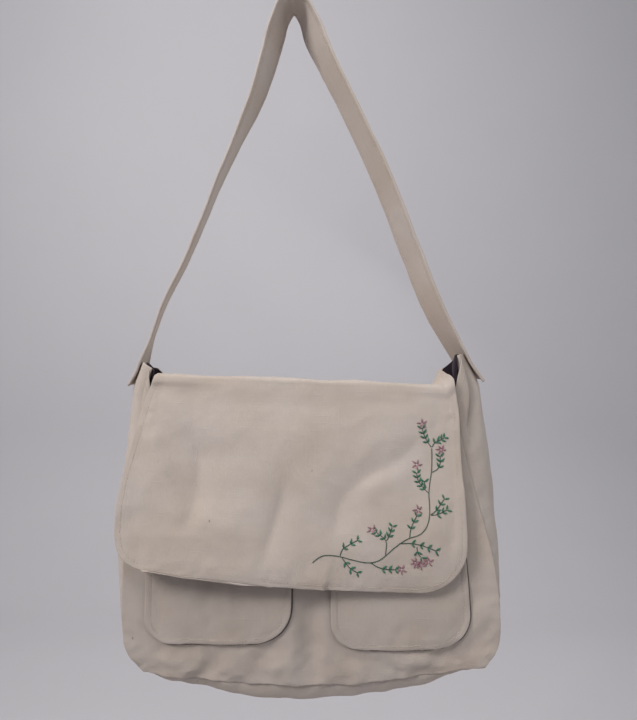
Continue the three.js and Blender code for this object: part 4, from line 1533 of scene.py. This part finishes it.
def thread_finish(name, dark, light):
    """Twisted thread between two shades."""
    f = Finish(name)
    place = f.place()
    shade = f.noise(place, 95.0).between(0.3, 0.7)
    fibre = f.noise(place, 900.0)
    return f.surface({
        "Base Color": f.colour_mix(0.75 * shade + 0.25 * fibre, (*dark, 1), (*light, 1)),
        "Roughness": 0.5 + 0.2 * fibre,
        "Normal": f.bump(fibre, 0.00012, 0.6),
        "Specular IOR Level": 0.3,
        "Sheen Weight": 0.15,
    })


lining_dark = lining_finish()
leaf_green = thread_finish("leaf_thread", (0.028, 0.12, 0.072), (0.07, 0.235, 0.14))
stem_green = thread_finish("stem_thread", (0.026, 0.066, 0.046), (0.05, 0.11, 0.08))
flower_mauve = thread_finish("flower_thread", (0.25, 0.12, 0.15), (0.44, 0.24, 0.27))
sewing_cream = thread_finish("sewing_thread", (0.50, 0.43, 0.36), (0.66, 0.58, 0.50))
print("finishes", sorted(material.name for material in bpy.data.materials))

# %% [markdown]
# ## Fitting the pieces to the frame
# Each cloth takes the place of its CAD node and rides on the bag's one body. The table lists the size it
# was cut to, and the stitches go with the cloth that carries them.

# %% Pieces and sheets
VINE = [vine_stem, vine_leaves, vine_flowers]
# Each sheet: piece, CAD node, flat size and area, the nodes that carry it, and the pieces that go with it.
SHEETS = [
    (front_canvas, "front_panel", (0.375, 0.285), 0.098, ["strap"], [body_stitches]),
    (back_canvas, "back_panel", (0.375, 0.300), 0.106, ["strap"], []),
    (gusset_left_canvas, "gusset_left", (0.125, 0.300), 0.034, ["strap"], []),
    (gusset_right_canvas, "gusset_right", (0.135, 0.310), 0.037, ["strap"], []),
    (base_canvas, "gusset_base", (0.125, 0.345), 0.040, ["front_panel", "back_panel"], []),
    (flap_canvas, "flap", (0.345, 0.275), 0.090, ["back_panel"], [flap_stitches, *VINE]),
    (pocket_left[0], "pocket_left", (0.142, 0.138), 0.019, ["front_panel"], [pocket_stitches]),
    (pocket_right[0], "pocket_right", (0.138, 0.144), 0.019, ["front_panel"], []),
    (strap_canvas, "strap", (0.042, 0.955), None, ["gusset_left", "gusset_right"], [strap_stitches]),
    (lining_cloth, "lining", (0.48, 0.72), 0.290, ["front_panel", "back_panel"], []),
]
OTHER_FINISHES = {"lining": lining_dark, "front_panel": canvas_with_pocket_edge_shade}
for piece, node, flat, area, _, _ in SHEETS:
    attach(piece, "root")
    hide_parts(node)
    piece.data.materials.append(OTHER_FINISHES.get(node, canvas))
    surface = sum(p.area for p in piece.data.polygons) / 2
    print(node, "cloth", round(surface, 4), "square metres, cut", area or flat)
for piece, finish, slot in (
    (flap_stitches, sewing_cream, "canvas"),
    (pocket_stitches, sewing_cream, "canvas"),
    (strap_stitches, sewing_cream, "canvas"),
    (body_stitches, sewing_cream, "canvas"),
    (vine_stem, stem_green, "leaf_thread"),
    (vine_leaves, leaf_green, "leaf_thread"),
    (vine_flowers, flower_mauve, "flower_thread"),
):
    piece.data.materials.append(finish)
    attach(piece, "root")

# %% [markdown]
# ## The studio
# A plain pale sweep of paper stands well behind the bag, and large soft lights come from the upper left and
# front, with a weak fill from the right, so the folds show without hard shadows.

# %% Paper sweep
FLOOR_Z = -1.45
SWEEP_START, SWEEP_END, SWEEP_TOP, SWEEP_HALF_WIDTH = -4.0, 2.2, 3.0, 5.0
SWEEP_BEND = 0.7


def sweep():
    """A floor that bends up into a backdrop."""
    turns = np.linspace(0, np.pi / 2, 17)
    y = [SWEEP_START, *(SWEEP_END - SWEEP_BEND + SWEEP_BEND * np.sin(turns)), SWEEP_END]
    z = [FLOOR_Z, *(FLOOR_Z + SWEEP_BEND * (1 - np.cos(turns))), SWEEP_TOP]
    sides = np.array([-SWEEP_HALF_WIDTH, SWEEP_HALF_WIDTH])
    verts = points(sides[None], np.array(y)[:, None], np.array(z)[:, None]).reshape(-1, 3)
    faces = [[2 * i, 2 * i + 1, 2 * i + 3, 2 * i + 2] for i in range(len(y) - 1)]
    return make_mesh("paper_sweep", verts / MM, faces)


paper = Finish("pale_paper")
paper_noise = paper.noise(paper.place(), 3.0, 3.0)
paper_colour = paper.colour_mix(paper_noise, (0.64, 0.62, 0.645, 1), (0.67, 0.65, 0.675, 1))
floor = sweep()
floor.data.materials.append(paper.surface({"Base Color": paper_colour, "Roughness": 0.9}))
print("paper", len(floor.data.polygons), "faces")

# %% Lights and colour
BAG_MIDDLE = (0.02, -0.04, -0.45)
BACKDROP = (0.3, 2.4, 1.0)
# Each light: its name, place, target, size, power and colour.
LIGHTS = [
    ("key", (-2.1, -1.6, 1.5), BAG_MIDDLE, 0.9, 60, (1.0, 0.985, 0.97)),
    ("above", (-0.15, -0.95, 1.1), BAG_MIDDLE, 0.8, 10, (1.0, 0.99, 0.98)),
    ("fill", (2.2, -1.0, 0.1), BAG_MIDDLE, 1.6, 13, (0.94, 0.97, 1.0)),
    ("behind", (0.9, 1.4, 0.7), BAG_MIDDLE, 1.4, 8, (1.0, 0.98, 0.96)),
    ("paper", (-0.5, 0.1, 1.7), BACKDROP, 2.4, 20, (1, 1, 1)),
]
for name, place, target, size, power, colour in LIGHTS:
    data = bpy.data.lights.new(name, "AREA")
    data.size = size
    data.energy = power
    data.color = colour
    light = bpy.data.objects.new(name, data)
    light.location = place
    light.rotation_euler = (Vector(target) - Vector(place)).to_track_quat("-Z", "Y").to_euler()
    light.visible_camera = False
    scene.collection.objects.link(light)
world = bpy.data.worlds.new("studio")
world.use_nodes = True
background = world.node_tree.nodes["Background"].inputs
background["Color"].default_value = (0.86, 0.92, 1.0, 1)
background["Strength"].default_value = 0.13
scene.world = world
scene.view_settings.view_transform = "Standard"
print(len(LIGHTS), "lights")
